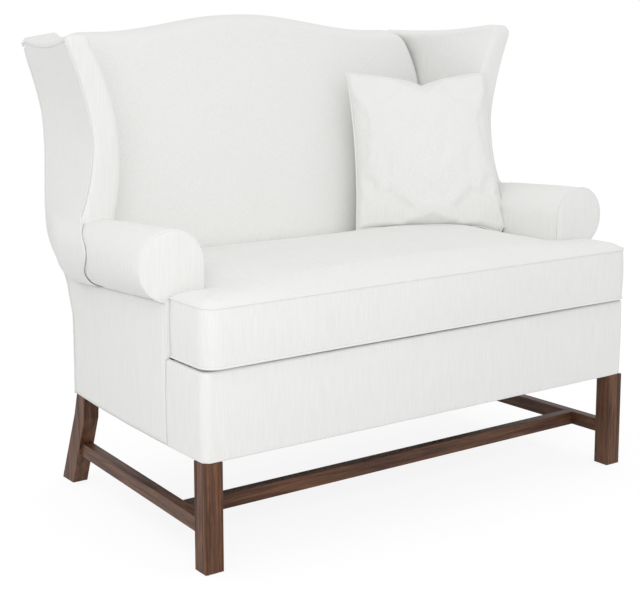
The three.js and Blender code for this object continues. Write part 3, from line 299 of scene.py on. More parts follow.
def rounded_outline(corners, spacing):
    """A closed line round corners of (x, y, radius), with points about a spacing apart."""
    count = len(corners)
    line = []
    for index, (x, y, radius) in enumerate(corners):
        here = np.array([x, y])
        before = np.array(corners[index - 1][:2]) - here
        after = np.array(corners[(index + 1) % count][:2]) - here
        before, after = before / np.linalg.norm(before), after / np.linalg.norm(after)
        half = math.acos(float(np.clip(before @ after, -1, 1))) / 2
        reach = radius / math.tan(half)
        centre = here + (before + after) / np.linalg.norm(before + after) * radius / math.sin(half)
        start, end = here + before * reach - centre, here + after * reach - centre
        turn = math.atan2(start[0] * end[1] - start[1] * end[0], float(start @ end))
        first = math.atan2(start[1], start[0])
        parts = max(3, round(abs(turn) * radius / spacing))
        for step in range(parts + 1):
            angle = first + turn * step / parts
            line.append(centre + radius * np.array([math.cos(angle), math.sin(angle)]))
    even = []
    for here, there in zip(line, line[1:] + line[:1]):
        parts = max(1, round(np.linalg.norm(there - here) / spacing))
        even += [mix(here, there, step / parts) for step in range(parts)]
    return np.array(even)


def edge_distance(flat, line):
    """How far each flat point lies from the nearest point of a line."""
    near = np.full(len(flat), np.inf)
    for x, y in line:
        near = np.minimum(near, np.hypot(flat[:, 0] - x, flat[:, 1] - y))
    return near


def filled_outline(line, spacing):
    """Points on a lattice inside a closed line, and the triangles that join them to it."""
    low, high = line.min(axis=0), line.max(axis=0)
    lattice = []
    for row, y in enumerate(np.arange(low[1] + spacing, high[1], spacing * 0.866)):
        shift = spacing / 2 * (row % 2)
        lattice += [(x + shift, y) for x in np.arange(low[0] + spacing, high[0], spacing)]
    lattice = np.array(lattice)
    ahead = np.roll(line, -1, axis=0)
    inside = np.zeros(len(lattice), bool)
    for (x0, y0), (x1, y1) in zip(line, ahead):
        crosses = (y0 > lattice[:, 1]) != (y1 > lattice[:, 1])
        if y0 != y1:
            inside ^= crosses & (lattice[:, 0] < (x1 - x0) * (lattice[:, 1] - y0) / (y1 - y0) + x0)
    kept = lattice[inside & (edge_distance(lattice, line) > spacing * 0.6)]
    points = [Vector(p) for p in line.tolist() + kept.tolist()]
    edges = [(i, (i + 1) % len(line)) for i in range(len(line))]
    found, _, faces, *_ = geometry.delaunay_2d_cdt(points, edges, [], 1, 1e-6)
    return np.array([tuple(p) for p in found]), faces


def paired_faces(faces, total):
    """A panel's faces, and the same faces turned over on the panel that follows it."""
    return [tuple(f) for f in faces] + [tuple(i + total for i in reversed(f)) for f in faces]


def closed_sheet(name, flat, faces, count, top, bottom):
    """A closed body between two heights, over a filled outline whose line has count points."""
    total = len(flat)
    shell = paired_faces(faces, total)
    shell += [(i, (i + 1) % count, (i + 1) % count + total, i + total) for i in range(count)]
    panels = [np.column_stack([flat, height]) for height in (top, bottom)]
    return new_piece(name, np.concatenate(panels), shell)


def limited(moves, cap):
    """Moves no longer than a cap."""
    lengths = np.linalg.norm(moves, axis=1)
    return moves * np.minimum(1, cap / np.maximum(lengths, 1e-9))[:, None]


def inflate(piece, held, pressure, frames, cap, shrink=0.0):
    """Fills a sewn cover under pressure, with its held points pinned, and keeps the result."""
    pins = piece.vertex_groups.new(name="seams")
    pins.add([int(i) for i in held], 1.0, "REPLACE")
    cloth = piece.modifiers.new("filling", "CLOTH")
    cloth.settings.quality = 6
    cloth.settings.mass = 0.25
    cloth.settings.tension_stiffness = 22
    cloth.settings.compression_stiffness = 14
    cloth.settings.shear_stiffness = 8
    cloth.settings.bending_stiffness = 0.35
    cloth.settings.use_pressure = True
    cloth.settings.uniform_pressure_force = pressure
    cloth.settings.shrink_min = shrink
    cloth.settings.effector_weights.gravity = 0
    cloth.settings.vertex_group_mass = "seams"
    cloth.point_cache.frame_end = frames
    scene = bpy.context.scene
    for frame in range(1, frames + 1):
        scene.frame_set(frame)
    filled = piece.evaluated_get(bpy.context.evaluated_depsgraph_get()).data
    moved = np.empty(len(filled.vertices) * 3)
    filled.vertices.foreach_get("co", moved)
    rest = np.empty(len(piece.data.vertices) * 3)
    piece.data.vertices.foreach_get("co", rest)
    piece.modifiers.remove(cloth)
    piece.vertex_groups.remove(pins)
    scene.frame_set(1)
    moves = limited((moved - rest).reshape(-1, 3), cap)
    piece.data.vertices.foreach_set("co", (rest + moves.ravel()).astype(np.float32))
    piece.data.update()


def points_of(piece):
    found = np.empty(len(piece.data.vertices) * 3)
    piece.data.vertices.foreach_get("co", found)
    return found.reshape(-1, 3)


def set_points(piece, points):
    piece.data.vertices.foreach_set("co", np.asarray(points, np.float32).ravel())
    piece.data.update()


def subdivided(piece, seams):
    """One more round of smooth faces, applied, with the sewn lines of points kept sharp."""
    sewn = {frozenset((a, b)) for line in seams for a, b in zip(line, line[1:] + line[:1])}
    crease = piece.data.attributes.new("crease_edge", "FLOAT", "EDGE")
    for edge in piece.data.edges:
        if frozenset(edge.vertices) in sewn:
            crease.data[edge.index].value = 1.0
    smoother = piece.modifiers.new("smooth", "SUBSURF")
    smoother.levels = smoother.render_levels = 1
    made = bpy.data.meshes.new_from_object(piece.evaluated_get(bpy.context.evaluated_depsgraph_get()))
    piece.modifiers.remove(smoother)
    piece.data = made
    piece.data.shade_smooth()


# Node trees

def node(tree, kind, inputs=None, **settings):
    """A node with its settings and inputs; an input is a value or another node's output."""
    made = tree.nodes.new(kind)
    for key, value in settings.items():
        setattr(made, key, value)
    for key, value in (inputs or {}).items():
        if isinstance(value, bpy.types.NodeSocket):
            tree.links.new(value, made.inputs[key])
        else:
            made.inputs[key].default_value = value
    return made


def calc(tree, operation, *values):
    """A Math node's result."""
    return node(tree, "ShaderNodeMath", dict(enumerate(values)), operation=operation).outputs[0]


def stretched(tree, place, factors):
    """A place scaled by a factor for each axis."""
    return node(tree, "ShaderNodeVectorMath", {0: place, 1: factors}, operation="MULTIPLY").outputs[0]


def seen_share(tree):
    """1 for what the camera sees straight, in a reflection or through glass, and 0 for other light."""
    rays = node(tree, "ShaderNodeLightPath")
    bent = calc(tree, "MAXIMUM", rays.outputs["Is Glossy Ray"], rays.outputs["Is Transmission Ray"])
    return calc(tree, "MAXIMUM", rays.outputs["Is Camera Ray"], bent)


def new_group(name, kind, inputs, outputs):
    """A node group with named sockets, and its input and output nodes."""
    tree = bpy.data.node_groups.new(name, kind)
    for socket, socket_type, default in inputs:
        made = tree.interface.new_socket(socket, in_out="INPUT", socket_type=socket_type)
        if default is not None:
            made.default_value = default
    for socket, socket_type in outputs:
        tree.interface.new_socket(socket, in_out="OUTPUT", socket_type=socket_type)
    return tree, tree.nodes.new("NodeGroupInput"), tree.nodes.new("NodeGroupOutput")


def use_group(tree, group, **values):
    made = tree.nodes.new("ShaderNodeGroup")
    made.node_tree = group
    for key, value in values.items():
        socket = made.inputs[key.replace("_", " ")]
        if isinstance(value, bpy.types.NodeSocket):
            tree.links.new(value, socket)
        else:
            socket.default_value = value
    return made


def plain_weave_group():
    """Height of a plain weave, one thread over and one under, on a flat pair of coordinates."""
    if "Plain weave" in bpy.data.node_groups:
        return bpy.data.node_groups["Plain weave"]
    tree, entry, result = new_group(
        "Plain weave", "ShaderNodeTree",
        [("Across", "NodeSocketFloat", 0.0), ("Along", "NodeSocketFloat", 0.0),
         ("Pitch", "NodeSocketFloat", 0.001)],
        [("Height", "NodeSocketFloat")])
    u = calc(tree, "DIVIDE", entry.outputs["Across"], entry.outputs["Pitch"])
    v = calc(tree, "DIVIDE", entry.outputs["Along"], entry.outputs["Pitch"])
    heights = []
    for here, there, sign in ((u, v, 0.5), (v, u, -0.5)):
        ridge = calc(tree, "ABSOLUTE", calc(tree, "SINE", calc(tree, "MULTIPLY", here, math.pi)))
        turn = calc(tree, "ADD", calc(tree, "SUBTRACT", there, 0.5), calc(tree, "FLOOR", here))
        wave = calc(tree, "COSINE", calc(tree, "MULTIPLY", turn, math.pi))
        lift = calc(tree, "MULTIPLY_ADD", wave, sign, 0.5)
        heights.append(calc(tree, "MULTIPLY", calc(tree, "POWER", ridge, 0.6), lift))
    tree.links.new(calc(tree, "MAXIMUM", *heights), result.inputs["Height"])
    return tree


def woven_cloth_group():
    """A woven cotton and linen cloth on any surface: thread height, tone of the slubs and of wear."""
    if "Woven cloth" in bpy.data.node_groups:
        return bpy.data.node_groups["Woven cloth"]
    tree, entry, result = new_group(
        "Woven cloth", "ShaderNodeTree",
        [("Pitch", "NodeSocketFloat", 0.0009), ("Slub Size", "NodeSocketFloat", 0.0022)],
        [("Height", "NodeSocketFloat"), ("Slubs", "NodeSocketFloat"), ("Mottle", "NodeSocketFloat")])
    place = node(tree, "ShaderNodeTexCoord").outputs["Object"]
    x, y, z = node(tree, "ShaderNodeSeparateXYZ", {0: place}).outputs
    normal = node(tree, "ShaderNodeNewGeometry").outputs["Normal"]
    facing = node(tree, "ShaderNodeSeparateXYZ", {0: normal}).outputs
    weights = [calc(tree, "POWER", calc(tree, "ABSOLUTE", part), 6.0) for part in facing]
    total = calc(tree, "ADD", calc(tree, "ADD", weights[0], weights[1]), weights[2])
    weights = [calc(tree, "DIVIDE", weight, total) for weight in weights]
    height = None
    for weight, (across, along) in zip(weights, ((y, z), (x, z), (x, y))):
        part = use_group(tree, plain_weave_group(), Across=across, Along=along, Pitch=entry.outputs["Pitch"])
        term = calc(tree, "MULTIPLY", part.outputs["Height"], weight)
        height = term if height is None else calc(tree, "ADD", height, term)
    along = stretched(tree, place, (1.0, 1.0, 0.035))
    flat = stretched(tree, place, (1.0, 0.035, 1.0))
    run = node(tree, "ShaderNodeMix", {0: weights[2], 4: along, 5: flat}, data_type="VECTOR").outputs[1]
    scale = calc(tree, "DIVIDE", 1.0, entry.outputs["Slub Size"])
    slubs = node(tree, "ShaderNodeTexNoise", {"Vector": run, "Scale": scale, "Detail": 2.0}).outputs[0]
    mottle = node(tree, "ShaderNodeTexNoise", {"Vector": place, "Scale": 5.0, "Detail": 3.0}).outputs[0]
    for name, value in (("Height", height), ("Slubs", slubs), ("Mottle", mottle)):
        tree.links.new(value, result.inputs[name])
    return tree


def wood_grain_group():
    """Straight grain with pores along one direction, which the stretch gives."""
    if "Wood grain" in bpy.data.node_groups:
        return bpy.data.node_groups["Wood grain"]
    tree, entry, result = new_group(
        "Wood grain", "ShaderNodeTree",
        [("Stretch", "NodeSocketVector", (1.0, 1.0, 0.06)), ("Grain Size", "NodeSocketFloat", 0.012)],
        [("Figure", "NodeSocketFloat"), ("Pores", "NodeSocketFloat")])
    place = node(tree, "ShaderNodeTexCoord").outputs["Object"]
    run = stretched(tree, place, entry.outputs["Stretch"])
    scale = calc(tree, "DIVIDE", 1.0, entry.outputs["Grain Size"])
    broad = node(tree, "ShaderNodeTexNoise",
                 {"Vector": run, "Scale": scale, "Detail": 4.0, "Roughness": 0.55,
                  "Distortion": 0.6}).outputs[0]
    fine = node(tree, "ShaderNodeTexNoise",
                {"Vector": run, "Scale": calc(tree, "MULTIPLY", scale, 9.0), "Detail": 2.0}).outputs[0]
    deep = calc(tree, "MULTIPLY", calc(tree, "SUBTRACT", fine, 0.42), 7.0)
    pores = calc(tree, "SMOOTH_MIN", deep, 1.0, 0.2)
    tree.links.new(broad, result.inputs["Figure"])
    tree.links.new(node(tree, "ShaderNodeClamp", {0: pores}).outputs[0], result.inputs["Pores"])
    return tree


def new_material(name):
    """An empty material with its surface shader, or the finished one of that name."""
    if name in bpy.data.materials:
        return bpy.data.materials[name], None, None
    made = bpy.data.materials.new(name)
    made.use_nodes = True
    tree = made.node_tree
    tree.nodes.clear()
    shader = tree.nodes.new("ShaderNodeBsdfPrincipled")
    tree.links.new(shader.outputs[0], tree.nodes.new("ShaderNodeOutputMaterial").inputs["Surface"])
    return made, tree, shader


def blend_colours(tree, share, low, high, **how):
    """A colour between two, by a share."""
    return node(tree, "ShaderNodeMix", {0: share, 6: low, 7: high}, data_type="RGBA", **how).outputs[2]


def shaded(colour, factor):
    return tuple(min(1.0, part * factor) for part in colour[:3]) + (1.0,)


def cloth_material(name, colour, pitch, relief=0.35, spread=0.035):
    """Woven cloth: threads in relief, slubs in tone, and a faint unevenness over a hand's breadth."""
    made, tree, shader = new_material(name)
    if tree is None:
        return made
    weave = use_group(tree, woven_cloth_group(), Pitch=pitch)
    slubs = node(tree, "ShaderNodeMapRange",
                 {0: weave.outputs["Slubs"], 1: 0.35, 2: 0.68}).outputs[0]
    tone = blend_colours(tree, slubs, shaded(colour, 1 - spread), shaded(colour, 1 + spread * 0.5))
    patch = node(tree, "ShaderNodeMapRange", {0: weave.outputs["Mottle"], 1: 0.3, 2: 0.7}).outputs[0]
    gentle = calc(tree, "MULTIPLY", patch, 0.35)
    final = blend_colours(tree, gentle, (1.0, 1.0, 1.0, 1.0), shaded((0.97, 0.968, 0.962), 1))
    product = blend_colours(tree, 1.0, tone, final, blend_type="MULTIPLY")
    tree.links.new(product, shader.inputs["Base Color"])
    raised = calc(tree, "MULTIPLY_ADD", slubs, 0.5, weave.outputs["Height"])
    bump = node(tree, "ShaderNodeBump", {"Strength": relief, "Distance": pitch * 0.25, "Height": raised})
    tree.links.new(bump.outputs[0], shader.inputs["Normal"])
    rough = node(tree, "ShaderNodeMapRange", {0: weave.outputs["Height"], 3: 0.98, 4: 0.86}).outputs[0]
    tree.links.new(rough, shader.inputs["Roughness"])
    shader.inputs["Specular IOR Level"].default_value = 0.12
    shader.inputs["Sheen Weight"].default_value = 0.04
    shader.inputs["Sheen Roughness"].default_value = 0.5
    return made


def wood_material(name, dark, light, stretch, grain, rough):
    """Stained or bare wood with its grain along the piece, and, where it is varnished, eased edges lightened
    in colour: partly worn stain, partly a painted highlight.
    """
    made, tree, shader = new_material(name)
    if tree is None:
        return made
    wood = use_group(tree, wood_grain_group(), Stretch=stretch, Grain_Size=grain)
    figure = node(tree, "ShaderNodeMapRange", {0: wood.outputs["Figure"], 1: 0.32, 2: 0.7}).outputs[0]
    colour = blend_colours(tree, figure, dark, light)
    # Painted highlight: the eased edges blend towards a brighter copy of the light grain. This is partly worn
    # stain and partly the light those rounded edges catch.
    edge = node(tree, "ShaderNodeAttribute", attribute_name="edge").outputs["Fac"]
    worn_and_highlit = calc(tree, "MULTIPLY", calc(tree, "MULTIPLY", edge, figure), 0.55)
    colour = blend_colours(tree, worn_and_highlit, colour, shaded(light, 1.7))
    depth = calc(tree, "MULTIPLY_ADD", wood.outputs["Pores"], 0.3, 0.7)
    deep = blend_colours(tree, calc(tree, "SUBTRACT", 1.0, depth), colour, shaded(dark, 0.4))
    tree.links.new(deep, shader.inputs["Base Color"])
    bump = node(tree, "ShaderNodeBump",
                {"Strength": 0.25, "Distance": 0.0003, "Height": wood.outputs["Pores"]})
    tree.links.new(bump.outputs[0], shader.inputs["Normal"])
    gloss = node(tree, "ShaderNodeMapRange",
                 {0: wood.outputs["Figure"], 3: rough + 0.08, 4: rough - 0.06}).outputs[0]
    tree.links.new(gloss, shader.inputs["Roughness"])
    shader.inputs["Specular IOR Level"].default_value = 0.3
    return made


def steel_material():
    """Drawn spring wire: grey, with a fine darker scale."""
    made, tree, shader = new_material("spring_wire")
    if tree is None:
        return made
    place = node(tree, "ShaderNodeTexCoord").outputs["Object"]
    scale = node(tree, "ShaderNodeTexNoise", {"Vector": place, "Scale": 120.0, "Detail": 4.0}).outputs[0]
    tone = blend_colours(tree, scale, (0.24, 0.24, 0.25, 1.0), (0.46, 0.46, 0.47, 1.0))
    tree.links.new(tone, shader.inputs["Base Color"])
    rough = node(tree, "ShaderNodeMapRange", {0: scale, 3: 0.28, 4: 0.5}).outputs[0]
    tree.links.new(rough, shader.inputs["Roughness"])
    shader.inputs["Metallic"].default_value = 1.0
    return made


# Geometry Nodes trees

def geometry_tree(name, inputs):
    return new_group(
        name, "GeometryNodeTree",
        [("Geometry", "NodeSocketGeometry", None), *inputs, ("Material", "NodeSocketMaterial", None)],
        [("Geometry", "NodeSocketGeometry")])


def piping_tree():
    """A covered cord along a line of edges, a little uneven as a sewn one is."""
    if "Piping" in bpy.data.node_groups:
        return bpy.data.node_groups["Piping"]
    tree, entry, result = geometry_tree("Piping", [
        ("Cord Radius", "NodeSocketFloat", 0.0024), ("Spacing", "NodeSocketFloat", 0.006),
        ("Unevenness", "NodeSocketFloat", 0.08)])
    line = node(tree, "GeometryNodeMeshToCurve", {0: entry.outputs["Geometry"]})
    even = node(tree, "GeometryNodeResampleCurve",
                {"Curve": line.outputs[0], "Length": entry.outputs["Spacing"]}, mode="LENGTH")
    place = node(tree, "GeometryNodeInputPosition").outputs[0]
    noise = node(tree, "ShaderNodeTexNoise", {"Vector": place, "Scale": 60.0, "Detail": 1.0}).outputs[0]
    swing = calc(tree, "MULTIPLY", calc(tree, "SUBTRACT", noise, 0.5), entry.outputs["Unevenness"])
    size = calc(tree, "MULTIPLY", calc(tree, "ADD", swing, 1.0), entry.outputs["Cord Radius"])
    thick = node(tree, "GeometryNodeSetCurveRadius", {"Curve": even.outputs[0], "Radius": size})
    ring = node(tree, "GeometryNodeCurvePrimitiveCircle", {"Resolution": 12, "Radius": 1.0})
    cord = node(tree, "GeometryNodeCurveToMesh",
                {"Curve": thick.outputs[0], "Profile Curve": ring.outputs[0], "Fill Caps": True})
    if "Scale" in cord.inputs:
        tree.links.new(size, cord.inputs["Scale"])
    smooth = node(tree, "GeometryNodeSetShadeSmooth", {"Geometry": cord.outputs[0]})
    real = node(tree, "GeometryNodeRealizeInstances", {"Geometry": smooth.outputs[0]})
    coloured = node(tree, "GeometryNodeSetMaterial",
                    {"Geometry": real.outputs[0], "Material": entry.outputs["Material"]})
    tree.links.new(coloured.outputs[0], result.inputs["Geometry"])
    return tree


def stitch_tree():
    """Short stitches or staples at even steps along a line of edges."""
    if "Stitches" in bpy.data.node_groups:
        return bpy.data.node_groups["Stitches"]
    tree, entry, result = geometry_tree("Stitches", [
        ("Step", "NodeSocketFloat", 0.008), ("Stitch Length", "NodeSocketFloat", 0.005),
        ("Thread Radius", "NodeSocketFloat", 0.0004)])
    line = node(tree, "GeometryNodeMeshToCurve", {0: entry.outputs["Geometry"]})
    points = node(tree, "GeometryNodeCurveToPoints",
                  {"Curve": line.outputs[0], "Length": entry.outputs["Step"]}, mode="LENGTH")
    bar = node(tree, "GeometryNodeMeshCylinder", {
        "Vertices": 6, "Radius": entry.outputs["Thread Radius"], "Depth": entry.outputs["Stitch Length"]})
    along = node(tree, "FunctionNodeAlignEulerToVector",
                 {"Vector": points.outputs["Tangent"]}, axis="Z")
    placed = node(tree, "GeometryNodeInstanceOnPoints", {
        "Points": points.outputs["Points"], "Instance": bar.outputs["Mesh"], "Rotation": along.outputs[0]})
    real = node(tree, "GeometryNodeRealizeInstances", {"Geometry": placed.outputs[0]})
    coloured = node(tree, "GeometryNodeSetMaterial",
                    {"Geometry": real.outputs[0], "Material": entry.outputs["Material"]})
    tree.links.new(coloured.outputs[0], result.inputs["Geometry"])
    return tree


def grown(name, lines, tree, values):
    """Runs a Geometry Nodes tree on lines of (points, closed) and returns the plain result."""
    points, edges = [], []
    for line, closed in lines:
        start = len(points)
        points += [tuple(p) for p in line]
        edges += [(start + i, start + i + 1) for i in range(len(line) - 1)]
        if closed:
            edges.append((len(points) - 1, start))
    carrier = new_piece(name + "_line", points, [], edges)
    maker = carrier.modifiers.new(name, "NODES")
    maker.node_group = tree
    for item in tree.interface.items_tree:
        if item.item_type == "SOCKET" and item.in_out == "INPUT" and item.name in values:
            maker[item.identifier] = values[item.name]
    made = bpy.data.meshes.new_from_object(carrier.evaluated_get(bpy.context.evaluated_depsgraph_get()))
    made.name = name
    bpy.data.objects.remove(carrier)
    piece = bpy.data.objects.new(name, made)
    bpy.context.scene.collection.objects.link(piece)
    return piece


# Settings that a user would change

class SetteeCloth(bpy.types.PropertyGroup):
    """The woven cover and its piping."""

    colour: bpy.props.FloatVectorProperty(
        name="Cloth colour", description="Colour of the woven cover", subtype="COLOR", size=4,
        min=0, max=1, default=(0.843, 0.845, 0.83, 1.0))
    pitch: bpy.props.FloatProperty(
        name="Thread pitch", description="Distance from one thread of the cover to the next",
        default=0.0009, unit="LENGTH")
    cord: bpy.props.FloatProperty(
        name="Piping radius", description="Radius of the covered cord along the seams",
        default=0.0024, unit="LENGTH")
    puff: bpy.props.FloatProperty(
        name="Puff", description="How far the padding lifts the middle of a cover panel",
        default=0.0016, unit="LENGTH")
    unevenness: bpy.props.FloatProperty(
        name="Unevenness", description="Depth of the soft unevenness of the padding",
        default=0.0005, unit="LENGTH")


class SetteeWood(bpy.types.PropertyGroup):
    """The stained legs and the bare frame."""

    dark: bpy.props.FloatVectorProperty(
        name="Stain, dark grain", description="Darkest colour of the stained grain", subtype="COLOR", size=4,
        min=0, max=1, default=(0.05, 0.02, 0.011, 1.0))
    light: bpy.props.FloatVectorProperty(
        name="Stain, light grain", description="Lightest colour of the stained grain",
        subtype="COLOR", size=4, min=0, max=1, default=(0.21, 0.092, 0.045, 1.0))
    edge: bpy.props.FloatProperty(
        name="Eased edge", description="Width of the sanded edges of the legs and stretchers",
        default=0.0009, unit="LENGTH")


class SetteeLoose(bpy.types.PropertyGroup):
    """The loose seat cushion and the pillow."""

    spacing: bpy.props.FloatProperty(
        name="Cushion mesh", description="Distance between the points of the cushion's cover",
        default=0.0095, unit="LENGTH")
    pressure: bpy.props.FloatProperty(
        name="Cushion pressure", description="Pressure of the filling in the seat cushion", default=3.0)
    pillow_pressure: bpy.props.FloatProperty(
        name="Pillow pressure", description="Pressure of the filling in the pillow", default=2.0)
    dent: bpy.props.FloatProperty(
        name="Pillow dent", description="Depth of the dent in the pillow's top edge",
        default=0.028, unit="LENGTH")


class SetteeStage(bpy.types.PropertyGroup):
    """The floor, the lamps and the camera."""

    ambient: bpy.props.FloatProperty(
        name="Room light", description="Strength of the even light from all sides", default=0.91)
    key: bpy.props.FloatProperty(
        name="Key lamp", description="Power of the lamp in front, to the left, in watts", default=14.0)
    fill: bpy.props.FloatProperty(
        name="Fill lamp", description="Power of the lamp overhead, in watts", default=0.5)
    shadow: bpy.props.FloatProperty(
        name="Floor shadow", description="How much of the shadow the white floor shows", default=0.15,
        subtype="FACTOR")


def settings():
    return bpy.context.scene.settee


class SetteeSettings(bpy.types.PropertyGroup):
    """All settings of the settee."""

    cloth: bpy.props.PointerProperty(type=SetteeCloth)
    wood: bpy.props.PointerProperty(type=SetteeWood)
    loose: bpy.props.PointerProperty(type=SetteeLoose)
    stage: bpy.props.PointerProperty(type=SetteeStage)


def cover_cloth():
    cloth = settings().cloth
    return cloth_material("cover_cloth", tuple(cloth.colour), cloth.pitch)


def piping_cloth():
    """The cover cloth, cut on the bias and drawn tight, so a little finer."""
    cloth = settings().cloth
    return cloth_material("piping_cloth", tuple(cloth.colour), cloth.pitch * 0.8, relief=0.5)


def finish_with(mesh, material):
    mesh.materials.clear()
    mesh.materials.append(material)


def dress(piece, body, material, nodes=()):
    """Gives a piece its cloth and its place in the frame."""
    finish_with(piece.data, material)
    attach(piece, body)
    if nodes:
        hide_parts(*nodes)
    return piece


def pipe(name, lines, body):
    """Sews piping along lines of (points, closed)."""
    values = {"Cord Radius": settings().cloth.cord, "Material": piping_cloth()}
    piece = grown(name, lines, piping_tree(), values)
    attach(piece, body)


def bulge(u, v):
    """How far the padding lifts a cover panel, between its edges at 0 and 1."""
    return settings().cloth.puff * np.sin(np.pi * u) * np.sin(np.pi * v)


def uneven(piece, seed, length=0.11):
    """Moves a padded surface along its normals by the soft unevenness of its padding."""
    points = points_of(piece)
    normals = np.empty(len(points) * 3)
    piece.data.vertices.foreach_get("normal", normals)
    amount = ripple(points, length, seed) * settings().cloth.unevenness
    set_points(piece, points + normals.reshape(-1, 3) * amount[:, None])
    return piece


# Legs, stretchers and hidden frame

def eased_copy(node_name, width):
    """A CAD solid's copy with its hard edges sanded, and those edges marked for lightening: partly wear,
    partly a painted highlight.
    """
    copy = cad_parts[node_name].data.copy()
    shell = bmesh.new()
    shell.from_mesh(copy)
    bmesh.ops.remove_doubles(shell, verts=shell.verts, dist=1e-5)
    bmesh.ops.dissolve_limit(shell, angle_limit=math.radians(1), verts=shell.verts, edges=shell.edges)
    sharp = [e for e in shell.edges if len(e.link_faces) == 2 and e.calc_face_angle(0) > math.radians(28)]
    eased = bmesh.ops.bevel(
        shell, geom=sharp, offset=width, segments=2, profile=0.6, affect="EDGES",
        clamp_overlap=True, harden_normals=False)
    marked = set(eased["faces"])
    bmesh.ops.triangulate(shell, faces=[f for f in shell.faces if len(f.verts) > 4])
    # The edge mask marks where the colour is lightened: partly worn stain, partly a painted highlight.
    layer = shell.faces.layers.float.new("edge")
    for face in shell.faces:
        face[layer] = 1.0 if face in marked else 0.0
        face.smooth = face in marked
    shell.to_mesh(copy)
    shell.free()
    piece = bpy.data.objects.new(node_name + "_finished", copy)
    bpy.context.scene.collection.objects.link(piece)
    return piece


def stained_wood(direction):
    wood = settings().wood
    stretch = tuple(0.06 if axis == direction else 1.0 for axis in "xyz")
    return wood_material(
        "stained_mahogany_" + direction, tuple(wood.dark), tuple(wood.light), stretch, 0.012, 0.46)


class SETTEE_OT_legs(bpy.types.Operator):
    """Stains and varnishes the legs and stretchers"""

    bl_idname = "settee.legs"
    bl_label = "Legs and Stretchers"

    def execute(self, context):
        width = settings().wood.edge
        runs = {"front_leg": "z", "rear_leg": "z", "side_stretcher": "y"}
        names = {f"{piece}_{side}": run for piece, run in runs.items() for side in SIDES}
        names["medial_stretcher"] = "x"
        for name, run in names.items():
            piece = eased_copy(name, width)
            dress(piece, "frame", stained_wood(run), [name])
        return {"FINISHED"}


class SETTEE_OT_frame(bpy.types.Operator):
    """Gives the bare frame, springs and webbing their materials"""

    bl_idname = "settee.frame"
    bl_label = "Bare Frame"

    def execute(self, context):
        dark, light = (0.42, 0.28, 0.15, 1.0), (0.68, 0.5, 0.3, 1.0)
        runs = {
            "x": ["front_seat_rail", "rear_seat_rail", "crest_rail", "lower_back_rail"],
            "y": [f"{p}_{s}" for p in ("side_seat_rail", "arm_rail", "arm_tack_rail", "wing_top_rail",
                                       "front_corner_block", "rear_corner_block") for s in SIDES],
            "z": ["back_stile"] + [f"{p}_{s}" for p in ("arm_stump", "wing_post") for s in SIDES],
        }
        for direction, names in runs.items():
            stretch = tuple(0.05 if axis == direction else 1.0 for axis in "xyz")
            bare = wood_material("bare_hardwood_" + direction, dark, light, stretch, 0.01, 0.6)
            for name in names:
                finish_with(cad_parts[name].data, bare)
        jute = cloth_material("jute_webbing", (0.36, 0.25, 0.13, 1.0), 0.0024, relief=0.9, spread=0.25)
        springs = {f"seat_spring_{i}": steel_material() for i in range(1, 6)}
        for name, material in {**springs, "back_webbing": jute}.items():
            finish_with(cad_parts[name].data, material)
        return {"FINISHED"}


# Covers

def rail_path(spacing):
    """Plan line of the seat rail's cover, from the left round the front to the right, with its normals."""
    outer, front, end = HALF_WIDTH + PROUD, -PROUD, COVER_START - GAP
    line, normals = [], []
    for side, start in ((-1, math.pi), (1, 1.5 * math.pi)):
        depths = np.linspace(end, front + CORNER_BEND, 18)[:-1]
        if side < 0:
            line += [(-outer, y) for y in depths]
            normals += [(-1.0, 0.0)] * len(depths)
        for angle in np.linspace(start, start + math.pi / 2, 13):
            out = np.array([math.cos(angle), math.sin(angle)])
            line.append((side * (outer - CORNER_BEND), front + CORNER_BEND) + CORNER_BEND * out)
            normals.append(tuple(out))
        if side < 0:
            inner = np.arange(-outer + CORNER_BEND + spacing, outer - CORNER_BEND, spacing)
            line += [(x, front) for x in inner]
            normals += [(0.0, -1.0)] * len(inner)
        else:
            line += [(outer, y) for y in depths[::-1]]
            normals += [(1.0, 0.0)] * len(depths)
    return np.array(line), np.array(normals)


class SETTEE_OT_rail_cover(bpy.types.Operator):
    """Makes the padded cover of the seat rail"""

    bl_idname = "settee.rail_cover"
    bl_label = "Rail Cover"

    def execute(self, context):
        puff = settings().cloth.puff
        line, normals = rail_path(0.012)
        inner, low, high, bend = COVER - 0.0002, BASE_LOW, BASE_HIGH, 0.0064
        section = [(-inner, low + 0.001)]
        for angle in np.linspace(-math.pi / 2, 0, 6):
            section.append((-0.004 + 0.004 * math.cos(angle), low + 0.004 + 0.004 * math.sin(angle)))
        for share in np.linspace(0, 1, 22)[1:-1]:
            section.append((puff * math.sin(math.pi * share), mix(low + 0.004, high - bend, share)))
        for angle in np.linspace(0, math.pi / 2, 9):
            section.append((-bend + bend * math.cos(angle), high - bend + bend * math.sin(angle)))
        section.append((-inner, high - 0.001))
        section += [(-inner, z) for z in np.linspace(high - 0.001, low + 0.001, 8)[1:-1]]
        rings = [[(*(place + normal * out), z) for out, z in section] for place, normal in zip(line, normals)]
        piece = uneven(lofted("rail_cover", rings), seed=3)
        dress(piece, "frame", cover_cloth(), ["front_border"])
        return {"FINISHED"}


def outside_arm(side):
    v, u = np.meshgrid(np.linspace(0, 1, 42), np.linspace(0, 1, 56), indexing="ij")
    z = mix(BASE_LOW, arm_lip_at(mix(COVER_START, rear_at(ARM_LIP), u)) - GAP, v)
    y = mix(COVER_START, rear_at(z) - THIN - 2 * GAP, u)
    reach = np.minimum.reduce([z - BASE_LOW, y - COVER_START, rear_at(z) - THIN - 2 * GAP - y])
    lift = bulge(u, v) - tuck(reach, 0.0035)
    outer = np.stack([side_at(y, z) + PROUD + lift, y, z], axis=-1)
    inner = np.stack([side_at(y, z) + PROUD - COVER, y, z], axis=-1)
    return uneven(slab(f"outside_arm_cover_{WORDS[side]}", outer, inner, side), seed=5)


